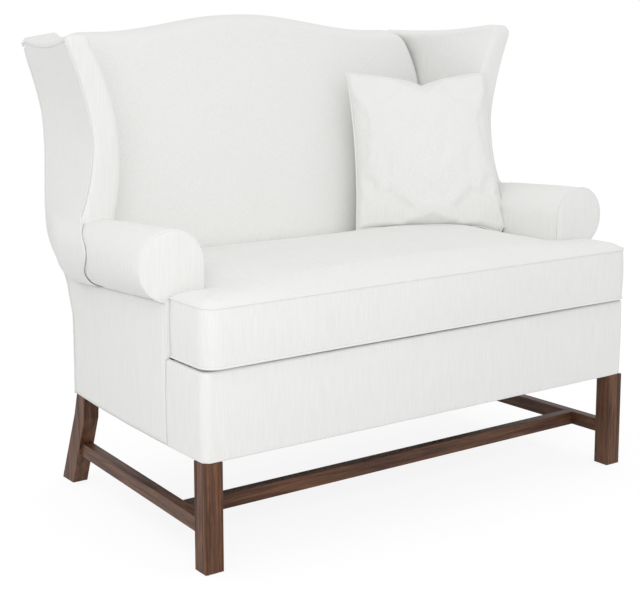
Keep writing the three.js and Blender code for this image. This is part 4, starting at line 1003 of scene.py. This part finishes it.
def scroll_line(radius, spacing):
    """Outline of an arm's front, seen from the front: up the inside, over the roll, down the outside."""
    bottom = BASE_HIGH + GAP
    inner, outer = ARM_X - radius, HALF_WIDTH
    lip = -math.acos((outer - ARM_X) / radius)
    arc = int(radius * (math.pi - lip) / spacing)
    line = [(inner, z) for z in np.linspace(bottom, ARM_Z, int((ARM_Z - bottom) / spacing))[:-1]]
    turn = np.linspace(math.pi, lip, arc)
    line += [(ARM_X + radius * math.cos(a), ARM_Z + radius * math.sin(a)) for a in turn]
    end = ARM_Z + radius * math.sin(lip)
    line += [(outer, z) for z in np.linspace(end, bottom, int((end - bottom) / spacing))[1:]]
    return line


# The facing's dome: how far each ring lies towards the middle, and its depth as a share of the cover
FACING_MIDDLE = np.array([0.566, 0.563])
FACING_RINGS = ((0, 1.0), (0, 0.35), (0.012, 0.08), (0.04, -0.03), (0.12, -0.13), (0.25, -0.2), (0.45, -0.24),
                (0.7, -0.26), (0.95, -0.265))


def arm_facing(side):
    """The scroll shaped facing on an arm's front, a little domed."""
    line = np.array(scroll_line(ARM_RADIUS - 0.0006, 0.006))
    rings = []
    for inset, depth in FACING_RINGS:
        rings.append([(x, ARM_FRONT + COVER * depth, z) for x, z in mix(line, FACING_MIDDLE, inset)])
    return lofted(f"arm_facing_{WORDS[side]}", rings, side)


def arm_roll(side):
    """The inside arm and its roll in one padded cover."""
    bottom = BASE_HIGH + GAP
    turn = np.linspace(math.pi, LIP_ANGLE, 60)
    inner = ARM_RADIUS - ARM_PAD
    heights = np.linspace(bottom, ARM_Z, 22)[:-1]
    depths = np.concatenate([COVER_START + 0.006 * (1 - np.cos(np.linspace(0, np.pi / 2, 6))),
                             np.linspace(COVER_START + 0.012, SEAM_SWEEP - 0.012, 28),
                             np.linspace(SEAM_SWEEP - 0.009, SEAM_SWEEP + 0.003, 5),
                             np.linspace(SEAM_SWEEP + 0.012, ARM_END, 18),
                             [ARM_END + 0.008, ARM_END + 0.016]])
    rings = []
    for y in depths:
        drop = tuck(np.array(y - COVER_START), 0.006)
        share = (y - COVER_START) / (ARM_END - COVER_START)
        full = 0.0012 * math.sin(math.pi * share)
        radius = ARM_RADIUS - 0.4 * drop + full - 0.002 * float(ease((y - SEAM_SWEEP + 0.008) / 0.01))
        outer = [(ARM_X - radius, y, z) for z in heights]
        outer += [(ARM_X + radius * math.cos(a), y, ARM_Z + radius * math.sin(a)) for a in turn]
        lining = [(ARM_X + inner * math.cos(a), y, ARM_Z + inner * math.sin(a)) for a in turn[::-3]]
        lining += [(ARM_INNER + ARM_PAD, y, z) for z in heights[::-4]]
        rings.append([rolled(*p) for p in outer + lining])
    return uneven(lofted(f"arm_roll_{WORDS[side]}", rings, side), seed=11)


class SETTEE_OT_arms(bpy.types.Operator):
    """Makes the rolled arms, their facings and the outside covers"""

    bl_idname = "settee.arms"
    bl_label = "Arms"

    def execute(self, context):
        cloth, slot = cover_cloth(), "cover_fabric"
        for word, side in SIDES.items():
            dress(outside_arm(side), "frame", cloth, [f"outside_arm_{word}"])
            dress(arm_facing(side), "frame", cloth, [f"arm_front_{word}"])
            dress(arm_roll(side), "frame", cloth, [f"arm_pad_{word}"])
        return {"FINISHED"}


def wing_height(y, side):
    """Top of the wing at a depth, with its front and rear corners rounded."""
    share = wing_share(y, SHOULDER)
    top = mix(WING_TOP, SHOULDER, share) - EAR_DIP[side] * np.sin(np.pi * share)
    top = top + EAR_FULL[side] * np.exp(-(share / 0.3) ** 2)
    return top - tuck(np.array(y - WING_FRONT), EAR_BEND[side]) - tuck(rear_at(SHOULDER) - y, EAR_REAR_BEND)


def wing_pad(side):
    """The inside of a wing, rolled over its front and top edges to the outer seam."""
    start, seam = WING_FRONT + IN_ROLL, WING_FRONT + OUT_ROLL
    ahead = [start - IN_ROLL * math.cos(a) for a in np.linspace(0, np.pi / 2, 9)]
    ahead += [seam - 0.001, seam + 0.0003]
    ahead += [mix(start, rear_at(SHOULDER) - 0.0005, share) for share in np.linspace(0, 1, 26)[1:]]
    rings = []
    foot, rows = ARM_Z + 0.02, 46
    for y in sorted(ahead):
        inset = float(tuck(np.array(y - WING_FRONT), IN_ROLL))
        cap = float(wing_height(y, side)) - TOP_ROLL * inset / IN_ROLL
        share = float(wing_share(y, SHOULDER))
        lean = EAR_DROP * share
        full = float(tuck(np.array(y - WING_FRONT), OUT_ROLL))
        under = THIN + 0.0008 if y > seam else 0.0

        def depth_at(z):
            tail = TAIL if z < cap - CAP else 0
            return WING_FRONT + share * (rear_at(min(z, SHOULDER)) - tail - WING_FRONT)

        ring = []
        low = cap - TOP_CROWN
        room = float(wing_outer_at(y, low)) - full - float(wing_inner_at(y, low)) - inset
        crown, bend = min(TOP_CROWN, 0.5 * room), min(OUT_ROLL, 0.4 * room)
        inner_top = cap - crown
        for z in np.linspace(foot, inner_top, rows):
            d = depth_at(z)
            ring.append((float(wing_inner_at(d, z)) + inset, d, z))
        width_in = float(wing_inner_at(y, inner_top)) + inset
        width_out = float(wing_outer_at(y, inner_top)) - full
        for angle in np.linspace(0, math.pi / 2, 8)[1:]:
            ring.append((width_in + crown * (1 - math.cos(angle)), y, inner_top + crown * math.sin(angle)))
        edge = cap - lean
        ring.append((mix(width_in + crown, width_out - bend, 0.5), y, mix(cap, edge, 0.5)))
        for angle in np.linspace(math.pi / 2, 0.1, 7):
            ring.append((width_out - bend * (1 - math.cos(angle)), y, edge - bend * (1 - math.sin(angle))))
        for z in np.linspace(edge - OUT_ROLL - 0.0005, foot, rows):
            d = depth_at(z)
            ring.append((float(wing_outer_at(d, z)) - full - under, d, z))
        rings.append(ring)
    return uneven(lofted(f"wing_pad_{WORDS[side]}", rings, side, rungs=rows), seed=17)


def wing_edge_at(y, side):
    """Height of the outside wing's top seam."""
    return wing_height(y, side) - EAR_DROP * wing_share(y, SHOULDER) - OUT_ROLL


def wing_cover(side):
    """The outside cover of a wing, down over the rear of the arm roll to the outside arm."""
    v, u = np.meshgrid(np.linspace(0, 1, 130), np.linspace(0, 1, 56), indexing="ij")
    plan = WING_FRONT + OUT_ROLL + u * (rear_at(SHOULDER) - WING_FRONT - OUT_ROLL)
    edge = wing_edge_at(plan, side)
    rise = v ** 1.6
    z = mix(ARM_LIP, SHOULDER, rise)
    for _ in range(3):
        front = wing_front_at(z)
        y = mix(front, rear_at(np.minimum(z, SHOULDER)) - THIN - GAP, u)
        z = mix(arm_lip_at(y) + GAP, edge, rise)
    reach = np.minimum.reduce([y - front, rear_at(np.minimum(z, SHOULDER)) - THIN - y, edge - z + 0.001])
    lift = bulge(u, v) - tuck(np.maximum(reach, 0), EDGE_TUCK)
    skin = wing_skin_at(y, z)
    outer = np.stack([skin + lift, y, z], axis=-1)
    inner = np.stack([np.maximum(wing_outer_at(y, z) - THIN, np.where(
        y < ARM_END, roll_outer_at(y, z, 0.0004), 0)), y, z], axis=-1)
    inner[..., 0] = np.minimum(inner[..., 0], skin - 0.0015)
    return uneven(slab(f"wing_cover_{WORDS[side]}", outer, inner, side), seed=19)


class SETTEE_OT_wings(bpy.types.Operator):
    """Makes the wing pads and their outside covers"""

    bl_idname = "settee.wings"
    bl_label = "Wings"

    def execute(self, context):
        cloth, slot = cover_cloth(), "cover_fabric"
        for word, side in SIDES.items():
            dress(wing_pad(side), "frame", cloth, [f"inside_wing_{word}"])
            dress(wing_cover(side), "frame", cloth, [f"outside_wing_{word}"])
        return {"FINISHED"}


def inside_back():
    """The padded front of the back, rolled over the top rail to the rear seam."""
    bottom = DECK_TOP + 2 * GAP
    rings = []
    roll, dip, dip_reach = BACK_THICK / 4, 0.012, 0.022
    for share in np.sin(np.linspace(-np.pi / 2, np.pi / 2, 121)):
        top = float(camel_at(share * crease_at(SHOULDER)))
        top -= dip * math.exp(-((1 - abs(share)) * CREASE / dip_reach) ** 2)
        fade = 1 - abs(share) ** 4

        def across(z):
            return share * (float(crease_at(min(z, SHOULDER))) - 3 * GAP)

        edge = float(tuck(np.array((1 - abs(share)) * CREASE), BACK_EDGE_TUCK))
        ring = []
        for t in np.linspace(0, 1, 56):
            z = mix(bottom, top - roll, t)
            crown = CROWN * fade * math.sin(math.pi * np.clip((z - bottom) / (top - bottom), 0, 1))
            ring.append((across(z), float(back_front_at(z)) - crown + edge, z))
        start = float(rear_at(top - roll)) - BACK_THICK
        crown = CROWN * fade * math.sin(math.pi * (top - roll - bottom) / (top - bottom))
        reach = 1.5 * roll
        for angle in np.linspace(0, math.pi / 2, 12)[1:]:
            z = top - roll * (1 - math.sin(angle))
            ahead = start - crown * (1 - math.sin(angle)) + edge * math.cos(angle)
            lean = RECLINE * roll * math.sin(angle)
            ring.append((across(z), ahead + lean + reach * (1 - math.cos(angle)), z))
        rear = float(rear_at(top))
        ring.append((across(top), rear - 0.03, top - 0.0004))
        for angle in np.linspace(math.pi / 2, 0, 6):
            ahead = rear - REAR_ROLL * (1 - math.cos(angle))
            ring.append((across(top), ahead, top - 0.01 + REAR_ROLL * math.sin(angle)))
        ring += [(across(top), float(rear_at(top - CAP)) - back, top - CAP) for back in (0, TAIL)]
        for t in np.linspace(0.96, 0, 20):
            z = mix(bottom, top - CAP, t)
            ring.append((across(z), float(rear_at(z)) - TAIL, z))
        rings.append(ring)
    return uneven(lofted("inside_back_cover", rings), seed=23, length=0.16)


def back_edge_at(x):
    """Height of the seam behind the top of the back, rounded into the corners."""
    return camel_at(x) - CAP - tuck(np.maximum(0, TOP_HALF - np.abs(x)), BACK_EDGE_TUCK)


def outside_back():
    v, u = np.meshgrid(np.linspace(0, 1, 72), np.linspace(0, 1, 72), indexing="ij")
    across = 2 * u - 1
    z = mix(BASE_LOW, back_edge_at(across * TOP_HALF) - GAP, v)
    trim = np.where(z > BASE_HIGH, 0, PROUD)
    reach = np.minimum.reduce([(1 - np.abs(across)) * WAIST, z - BASE_LOW])
    lift = bulge(u, v) - tuck(reach, EDGE_TUCK)
    x = across * (corner_at(z) + trim)
    outer = np.stack([x, rear_at(z) + lift - PROUD, z], axis=-1)
    inner = np.stack([x, rear_at(z) - THIN + GAP, z], axis=-1)
    return uneven(slab("outside_back_cover", outer, inner), seed=29, length=0.2)


class SETTEE_OT_back(bpy.types.Operator):
    """Makes the camel back's inside and outside covers"""

    bl_idname = "settee.back"
    bl_label = "Back"

    def execute(self, context):
        dress(inside_back(), "frame", cover_cloth(), ["inside_back"])
        dress(outside_back(), "frame", cover_cloth(), ["outside_back"])
        return {"FINISHED"}


def deck_outline():
    lobe, waist, step = HALF_WIDTH - RAIL_FRONT - 0.004, ARM_INNER - GAP, ARM_FRONT - GAP
    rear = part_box("seat_deck")[1].y - FRONT
    return [(-lobe, RAIL_FRONT + GAP, 0.012), (lobe, RAIL_FRONT + GAP, 0.012), (lobe, step, 0.004),
            (waist, step, 0.003), (waist, rear, 0.004), (-waist, rear, 0.004), (-waist, step, 0.003),
            (-lobe, step, 0.004)]


def bottom_outline():
    """The bottom cloth's line on the rails, round the four legs."""
    low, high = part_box("dust_cover")
    front, rear = low.y - FRONT + 0.001, high.y - FRONT - 0.001
    right = [(0.5534, front), (0.5534, 0.0436), (0.589, 0.0436), (0.572, 0.5804), (0.5324, 0.5804),
             (0.5324, rear)]
    return [(x, y, 0.003) for x, y in right + [(-x, y) for x, y in reversed(right)]]


def bottom_cloth():
    """The lining under the frame, stretched over the rails and sagging a little between them."""
    low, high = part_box("dust_cover")
    line = rounded_outline(bottom_outline(), 0.012)
    flat, faces = filled_outline(line, 0.018)
    sag = 0.004 * ease((edge_distance(flat, line) - 0.03) / 0.2)
    piece = closed_sheet("bottom_cloth", flat, faces, len(line), high.z - 0.0003 - sag, low.z + 0.0001 - sag)
    ahead = np.roll(line, -1, axis=0)
    area = abs(float((line[:, 0] * ahead[:, 1] - ahead[:, 0] * line[:, 1]).sum())) / 2
    size = tuple(float(part) for part in line.max(axis=0) - line.min(axis=0))
    return piece, size, area


class SETTEE_OT_deck(bpy.types.Operator):
    """Makes the sprung deck under the cushion and the cloth under the frame"""

    bl_idname = "settee.deck"
    bl_label = "Deck and Bottom Cloth"

    def execute(self, context):
        line = rounded_outline(deck_outline(), 0.012)
        flat, faces = filled_outline(line, 0.014)
        top = DECK_TOP - 0.0035 * np.exp(-edge_distance(flat, line) / 0.01)
        bottom = np.full(len(flat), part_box("seat_deck")[1].z - 0.0155)
        piece = closed_sheet("deck_cover", flat, faces, len(line), top, bottom)
        dress(piece, "frame", cover_cloth(), ["seat_deck"])
        low_box, high_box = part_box("dust_cover")
        cloth, size, area = bottom_cloth()
        dark = cloth_material("cambric_lining", (0.028, 0.028, 0.03, 1.0), 0.0007, relief=0.3, spread=0.2)
        dress(cloth, "frame", dark, ["dust_cover"])
        inset, z = 0.012, low_box.z - 0.0004
        x, front, rear = high_box.x - 0.05, low_box.y - FRONT + inset, high_box.y - FRONT - inset
        rows = [[(-x, front, z), (x, front, z)], [(-x + 0.02, rear, z), (x - 0.02, rear, z)]]
        values = {"Step": 0.05, "Stitch Length": 0.011, "Thread Radius": 0.0005, "Material": steel_material()}
        staples = grown("bottom_staples", [(row, False) for row in rows], stitch_tree(), values)
        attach(staples, "frame")
        return {"FINISHED"}


# Loose cushion

CUSHION_LOW, CUSHION_HIGH, CUSHION_CROWN, CUSHION_ROUND, CUSHION_ROWS = 0.421, 0.541, 0.022, 0.026, 12
CUSHION_DRAWN, CUSHION_BULGE = 0.004, 0.0025
CUSHION_CORNERS = [
    (-0.596, -0.012, 0.034), (0.596, -0.012, 0.034), (0.596, 0.137, 0.014), (0.505, 0.137, 0.008),
    (0.505, 0.5627, 0.022), (-0.505, 0.5627, 0.022), (-0.505, 0.137, 0.008), (-0.596, 0.137, 0.014)]

# Soft dips and swells of the cushion's top: place, half widths and height
CUSHION_DIPS = [(-0.36, 0.1, 0.16, 0.09, -0.0045), (0.12, 0.24, 0.3, 0.14, -0.002),
                (-0.05, 0.42, 0.35, 0.1, 0.002), (0.42, 0.17, 0.16, 0.12, -0.002)]


def cushion_line(spacing):
    """The cushion's seam in plan, drawn in a little between its corners."""
    line = rounded_outline(CUSHION_CORNERS, spacing)
    x, y = line[:, 0].copy(), line[:, 1].copy()
    ahead = np.clip((0.137 - y) / 0.149, 0, 1)
    line[:, 1] += CUSHION_DRAWN * (1 - np.clip(np.abs(x) / 0.56, 0, 1) ** 2) * ahead ** 4
    behind = np.clip((y - 0.15) / 0.38, 0, 1)
    line[:, 0] -= np.sign(x) * CUSHION_DRAWN * np.sin(np.pi * behind) * (np.abs(x) > 0.49)
    return line


def cushion_mesh(spacing):
    """The T shaped cover: two panels and a boxing, which meet in the upper and the lower seam."""
    line = cushion_line(spacing)
    flat, faces = filled_outline(line, spacing)
    count, total = len(line), len(flat)
    swell = 1 - np.exp(-edge_distance(flat, line) / CUSHION_ROUND)
    soft = sum(height * np.exp(-((flat[:, 0] - x) / wide) ** 2 - ((flat[:, 1] - y) / deep) ** 2)
               for x, y, wide, deep, height in CUSHION_DIPS)
    top = np.column_stack([flat, CUSHION_HIGH + CUSHION_CROWN * swell + soft * swell])
    bottom = np.column_stack([flat, mix(CUSHION_LOW, BASE_HIGH + GAP, swell)])
    shell = paired_faces(faces, total)
    points = [top, bottom]
    rows = CUSHION_ROWS
    ahead, behind = np.roll(line, -1, axis=0), np.roll(line, 1, axis=0)
    along = ahead - behind
    normal = np.column_stack([along[:, 1], -along[:, 0]])
    normal /= np.linalg.norm(normal, axis=1)[:, None]
    notch = (np.abs(line[:, 0]) < 0.53) & (line[:, 1] > 0.1)
    strength = np.where(notch, 0.2, 1.0)
    row_start = [0] + [2 * total + (r - 1) * count for r in range(1, rows)] + [total]
    for r in range(1, rows):
        share = r / rows
        out = CUSHION_BULGE * math.sin(math.pi * share)
        z = mix(CUSHION_HIGH, CUSHION_LOW, share)
        points.append(np.column_stack([line + normal * (out * strength)[:, None], np.full(count, z)]))
    for r in range(rows):
        a, b = row_start[r], row_start[r + 1]
        shell += [(a + (i + 1) % count, a + i, b + i, b + (i + 1) % count) for i in range(count)]
    seams = [list(range(count)), list(range(total, total + count))]
    return np.concatenate(points), shell, seams, line


class SETTEE_OT_cushion(bpy.types.Operator):
    """Makes the loose seat cushion"""

    bl_idname = "settee.cushion"
    bl_label = "Seat Cushion"

    def execute(self, context):
        loose = settings().loose
        points, faces, seams, line = cushion_mesh(loose.spacing)
        piece = new_piece("seat_cushion_cover", points, faces)
        inflate(piece, seams[0] + seams[1], pressure=loose.pressure, frames=16, cap=0.01)
        placed = points_of(piece)
        placed[:, 2] = np.maximum(placed[:, 2], BASE_HIGH + GAP)
        set_points(piece, placed)
        subdivided(piece, seams)
        dress(piece, "cushion", cover_cloth(), ["seat_cushion"])
        loops = [(np.column_stack([line, np.full(len(line), z)]), True) for z in (CUSHION_HIGH, CUSHION_LOW)]
        pipe("seat_cushion_piping", loops, "cushion")
        return {"FINISHED"}


# Loose pillow

PILLOW_HALF = np.array([0.188, 0.064, 0.206])
PILLOW_PINCH, PILLOW_FULL, PILLOW_TAPER, PILLOW_SLUMP = 0.055, 0.42, 0.035, 0.064
PILLOW_DENT_AT, PILLOW_DENT_HALF, PILLOW_SETTLE = 0.08, 0.3, -0.35
PILLOW_PLACE, PILLOW_YAW, PILLOW_LEAN, PILLOW_TURN = (0.363, 0.4877, 0.0), -30.0, 18.0, 0.2


def pillow_matrix():
    """Turns the upright pillow into its place, leaning in the corner; its centre is a plan point."""
    turn = Matrix.Rotation(math.radians(PILLOW_TURN), 4, "Y")
    lean = Matrix.Rotation(math.radians(-PILLOW_LEAN), 4, "X")
    yaw = Matrix.Rotation(math.radians(PILLOW_YAW), 4, "Z")
    return Matrix.Translation(PILLOW_PLACE) @ yaw @ lean @ turn


def pillow_mesh(cells):
    """Two square panels sewn along their edges, and the loop of points in that seam."""
    shares = np.linspace(-1, 1, cells + 1)
    loop = [(i, 0) for i in range(cells)] + [(cells, j) for j in range(cells)]
    loop += [(cells - i, cells) for i in range(cells)] + [(0, cells - j) for j in range(cells)]
    index = {}
    points = []
    for sign in (-1, 1):
        for i, u in enumerate(shares):
            for j, v in enumerate(shares):
                seam = i in (0, cells) or j in (0, cells)
                if seam and (0, i, j) in index:
                    continue
                full = ((1 - u * u) * (1 - v * v)) ** PILLOW_FULL
                drawn = PILLOW_PINCH * mix(0.3, 1.0, (v + 1) / 2)
                index[(0 if seam else sign, i, j)] = len(points)
                points.append(PILLOW_HALF * (u * (1 - PILLOW_PINCH * (1 - v * v)), sign * full,
                                             v * (1 - drawn * (1 - u * u))))

    def at(sign, i, j):
        seam = i in (0, cells) or j in (0, cells)
        return index[(0 if seam else sign, i, j)]

    faces = []
    for sign in (-1, 1):
        for i in range(cells):
            for j in range(cells):
                faces.append((at(sign, i, j), at(sign, i + 1, j), at(sign, i + 1, j + 1), at(sign, i, j + 1)))
    return np.array(points), faces, [index[(0, i, j)] for i, j in loop]


def settle_down(placed, v, loop):
    """How far each point drops for the pillow's lower edge to lie along the cushion under it."""
    cushion = bpy.data.objects["seat_cushion_cover"]
    low = [i for i in loop if v[i] < -0.9]
    clear = settings().cloth.cord + 0.0012
    gaps = []
    for i in low:
        found, hit, *_ = cushion.ray_cast(Vector(placed[i]) + Vector((0, 0, 0.05)), Vector((0, 0, -1)))
        gaps.append(max(0.0, placed[i][2] - hit.z - clear) if found else 0.0)
    reach = placed[low]
    order = np.argsort(reach[:, 0])
    drop = np.interp(placed[:, 0], reach[order, 0], np.array(gaps)[order])
    return drop * np.clip((PILLOW_SETTLE - v) / (1 + PILLOW_SETTLE), 0, 1) ** 2


class SETTEE_OT_pillow(bpy.types.Operator):
    """Makes the loose pillow with its piped edge"""

    bl_idname = "settee.pillow"
    bl_label = "Pillow"

    def execute(self, context):
        loose = settings().loose
        points, faces, loop = pillow_mesh(52)
        points[:, 1] -= FRONT
        piece = new_piece("pillow_cover", points, faces)
        inflate(piece, loop, pressure=loose.pillow_pressure, frames=14, cap=0.004, shrink=-0.02)
        local = points_of(piece)
        u, v = local[:, 0] / PILLOW_HALF[0], local[:, 2] / PILLOW_HALF[2]
        local[:, 0] = local[:, 0] * (1 - PILLOW_TAPER * v) - PILLOW_SLUMP * local[:, 2]
        dent = np.exp(-np.abs(u - PILLOW_DENT_AT) / PILLOW_DENT_HALF) * ease((v - 0.1) / 0.9)
        local[:, 2] -= loose.dent * dent
        local[:, 1] *= 1 + 0.1 * dent
        matrix = np.array(pillow_matrix())
        placed = local @ matrix[:3, :3].T + matrix[:3, 3]
        placed[:, 1] += FRONT
        placed[:, 2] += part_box("throw_pillow")[0].z - placed[:, 2].min()
        placed[:, 2] -= settle_down(placed, v, loop)
        set_points(piece, placed)
        seam = placed[loop]
        seam[:, 1] -= FRONT
        subdivided(piece, [loop])
        dress(piece, "pillow", cover_cloth(), ["throw_pillow"])
        pipe("pillow_piping", [(seam, True)], "pillow")
        return {"FINISHED"}


# Piping on the frame's covers

def wing_seam(side):
    """Up over the roll and the wing's outer front edge, round its corner and along its top to the rear."""
    line = []
    out = 0.0004
    corner = WING_FRONT + OUT_ROLL
    for share in np.linspace(0, 1, 110) ** 1.2:
        z = mix(float(arm_lip_at(SEAM_SWEEP)) + 0.004, float(wing_edge_at(corner, side)) - 0.003, share)
        y = float(wing_front_at(z))
        line.append((float(wing_skin_at(y, z)) - out, y, z))
    for y in corner + (rear_at(SHOULDER) - corner - 0.009) * np.linspace(0, 1, 60)[1:] ** 1.5:
        z = float(wing_edge_at(y, side))
        line.append((float(wing_outer_at(y, z)) - out - 0.001, y, z))
    return [(side * x, y, z) for x, y, z in line]


def rear_seam(side):
    """Down a rear corner, where the outside back meets the wing and the arm."""
    line = []
    for z in np.linspace(float(back_edge_at(TOP_HALF)), BASE_LOW + 0.003, 90):
        line.append((side * (float(corner_at(z)) - 0.0018), float(rear_at(z)) - 0.003, z))
    return line


class SETTEE_OT_piping(bpy.types.Operator):
    """Sews the piping along the edges of the arms, wings and back"""

    bl_idname = "settee.piping"
    bl_label = "Piping"

    def execute(self, context):
        lines = {"wing_piping": [], "arm_piping": [], "back_piping": []}
        for side in SIDES.values():
            lines["wing_piping"].append((wing_seam(side), False))
            scroll = [(side * x, ARM_FRONT + 0.0022, z) for x, z in scroll_line(ARM_RADIUS - 0.0006, 0.005)]
            lines["arm_piping"].append((scroll, False))
            lines["back_piping"].append((rear_seam(side), False))
        ends = np.sin(np.linspace(-np.pi / 2, np.pi / 2, 140)) * (TOP_HALF - 0.0005)
        top = [(x, float(rear_at(back_edge_at(x))) - 0.0005, float(back_edge_at(x))) for x in ends]
        lines["back_piping"].append((top, False))
        for name, group in lines.items():
            pipe(name, group, "frame")
        return {"FINISHED"}


# Stage

class SETTEE_OT_stage(bpy.types.Operator):
    """Sets the white floor, the soft lamps and the camera"""

    bl_idname = "settee.stage"
    bl_label = "Stage"

    def execute(self, context):
        scene = context.scene
        stage = settings().stage
        floor_mesh = bpy.data.meshes.new("floor")
        corners = [(-14, -14, 0), (14, -14, 0), (14, 14, 0), (-14, 14, 0)]
        floor_mesh.from_pydata(corners, [], [(0, 1, 2, 3)])
        floor = bpy.data.objects.new("floor", floor_mesh)
        scene.collection.objects.link(floor)
        floor_mesh.materials.append(self.floor_material(stage.shadow, stage.ambient))
        self.light_world(scene, stage.ambient)
        self.lamp("key_lamp", (-1.7, -2.1, 1.5), 1.4, stage.key)
        self.lamp("fill_lamp", (0.3, -0.6, 2.9), 1.8, stage.fill)
        self.place_camera(scene)
        scene.view_settings.view_transform = "Standard"
        return {"FINISHED"}

    def floor_material(self, shadow, ambient):
        """White to the camera and in reflections, with the soft shadow left in."""
        made = bpy.data.materials.new("white_floor")
        made.use_nodes = True
        tree = made.node_tree
        tree.nodes.clear()
        matt = node(tree, "ShaderNodeBsdfDiffuse", {"Color": (0.82, 0.82, 0.82, 1.0)})
        glow = (1.01 - shadow * ambient) / (1 - shadow)
        bright = node(tree, "ShaderNodeEmission", {"Color": (1.0, 1.0, 1.0, 1.0), "Strength": glow})
        seen = node(tree, "ShaderNodeBsdfDiffuse", {"Color": (1.0, 1.0, 1.0, 1.0)})
        mixed = node(tree, "ShaderNodeMixShader", {0: 1 - shadow, 1: seen.outputs[0], 2: bright.outputs[0]})
        final = node(tree, "ShaderNodeMixShader",
                     {0: seen_share(tree), 1: matt.outputs[0], 2: mixed.outputs[0]})
        tree.links.new(final.outputs[0], tree.nodes.new("ShaderNodeOutputMaterial").inputs["Surface"])
        return made

    def light_world(self, scene, strength):
        world = bpy.data.worlds.new("room")
        world.use_nodes = True
        tree = world.node_tree
        tree.nodes.clear()
        room = node(tree, "ShaderNodeBackground", {"Color": (1.0, 1.0, 1.0, 1.0), "Strength": strength})
        white = node(tree, "ShaderNodeBackground", {"Color": (1.0, 1.0, 1.0, 1.0), "Strength": 1.0})
        final = node(tree, "ShaderNodeMixShader",
                     {0: seen_share(tree), 1: room.outputs[0], 2: white.outputs[0]})
        tree.links.new(final.outputs[0], tree.nodes.new("ShaderNodeOutputWorld").inputs["Surface"])
        scene.world = world

    def lamp(self, name, place, size, power):
        data = bpy.data.lights.new(name, "AREA")
        data.shape = "DISK"
        data.size = size
        data.energy = power
        lamp = bpy.data.objects.new(name, data)
        bpy.context.scene.collection.objects.link(lamp)
        lamp.location = place
        lamp.rotation_mode = "QUATERNION"
        lamp.rotation_quaternion = (Vector((0, 0, 0.55)) - Vector(place)).to_track_quat("-Z", "Y")

    def place_camera(self, scene):
        """The photographer's place: to the left, a little above the top of the back."""
        data = bpy.data.cameras.new("camera")
        camera = bpy.data.objects.new("camera", data)
        scene.collection.objects.link(camera)
        # In pixels of the picture
        focal, width, height, centre = 1354.0, 640.0, 590.0, 225.0
        data.sensor_width = 36.0
        data.lens = focal / width * data.sensor_width
        data.shift_y = -(height / 2 - centre) / width
        data.clip_start, data.clip_end = 0.05, 100.0
        turn, down = math.radians(-35.73), math.radians(8.70)
        back = Vector((math.sin(turn) * math.cos(down), -math.cos(turn) * math.cos(down), math.sin(down)))
        camera.location = (-1.902, -2.615, 1.095)
        camera.rotation_mode = "QUATERNION"
        camera.rotation_quaternion = (-back).to_track_quat("-Z", "Y")
        scene.camera = camera


class SETTEE_PT_panel(bpy.types.Panel):
    """The settee's pieces and settings"""

    bl_idname = "SETTEE_PT_panel"
    bl_label = "High Back Settee"
    bl_space_type = "VIEW_3D"
    bl_region_type = "UI"
    bl_category = "Settee"

    def draw(self, context):
        for operator in OPERATORS:
            self.layout.operator(operator.bl_idname)
        shown = context.scene.settee
        for title, group in (("Cloth", shown.cloth), ("Wood", shown.wood), ("Loose pieces", shown.loose),
                             ("Stage", shown.stage)):
            box = self.layout.box()
            box.label(text=title)
            for name in group.bl_rna.properties.keys():
                if name not in ("rna_type", "name"):
                    box.prop(group, name)


OPERATORS = (
    SETTEE_OT_legs, SETTEE_OT_frame, SETTEE_OT_rail_cover, SETTEE_OT_arms, SETTEE_OT_wings, SETTEE_OT_back,
    SETTEE_OT_deck, SETTEE_OT_cushion, SETTEE_OT_pillow, SETTEE_OT_piping, SETTEE_OT_stage)
GROUPS = (SetteeCloth, SetteeWood, SetteeLoose, SetteeStage, SetteeSettings)


def register():
    for kind in (*GROUPS, *OPERATORS, SETTEE_PT_panel):
        bpy.utils.register_class(kind)
    bpy.types.Scene.settee = bpy.props.PointerProperty(type=SetteeSettings)


def unregister():
    del bpy.types.Scene.settee
    for kind in reversed((*GROUPS, *OPERATORS, SETTEE_PT_panel)):
        bpy.utils.unregister_class(kind)


def main():
    register()
    for operator in OPERATORS:
        group, name = operator.bl_idname.split(".")
        getattr(getattr(bpy.ops, group), name)()


if __name__ == "__main__":
    main()
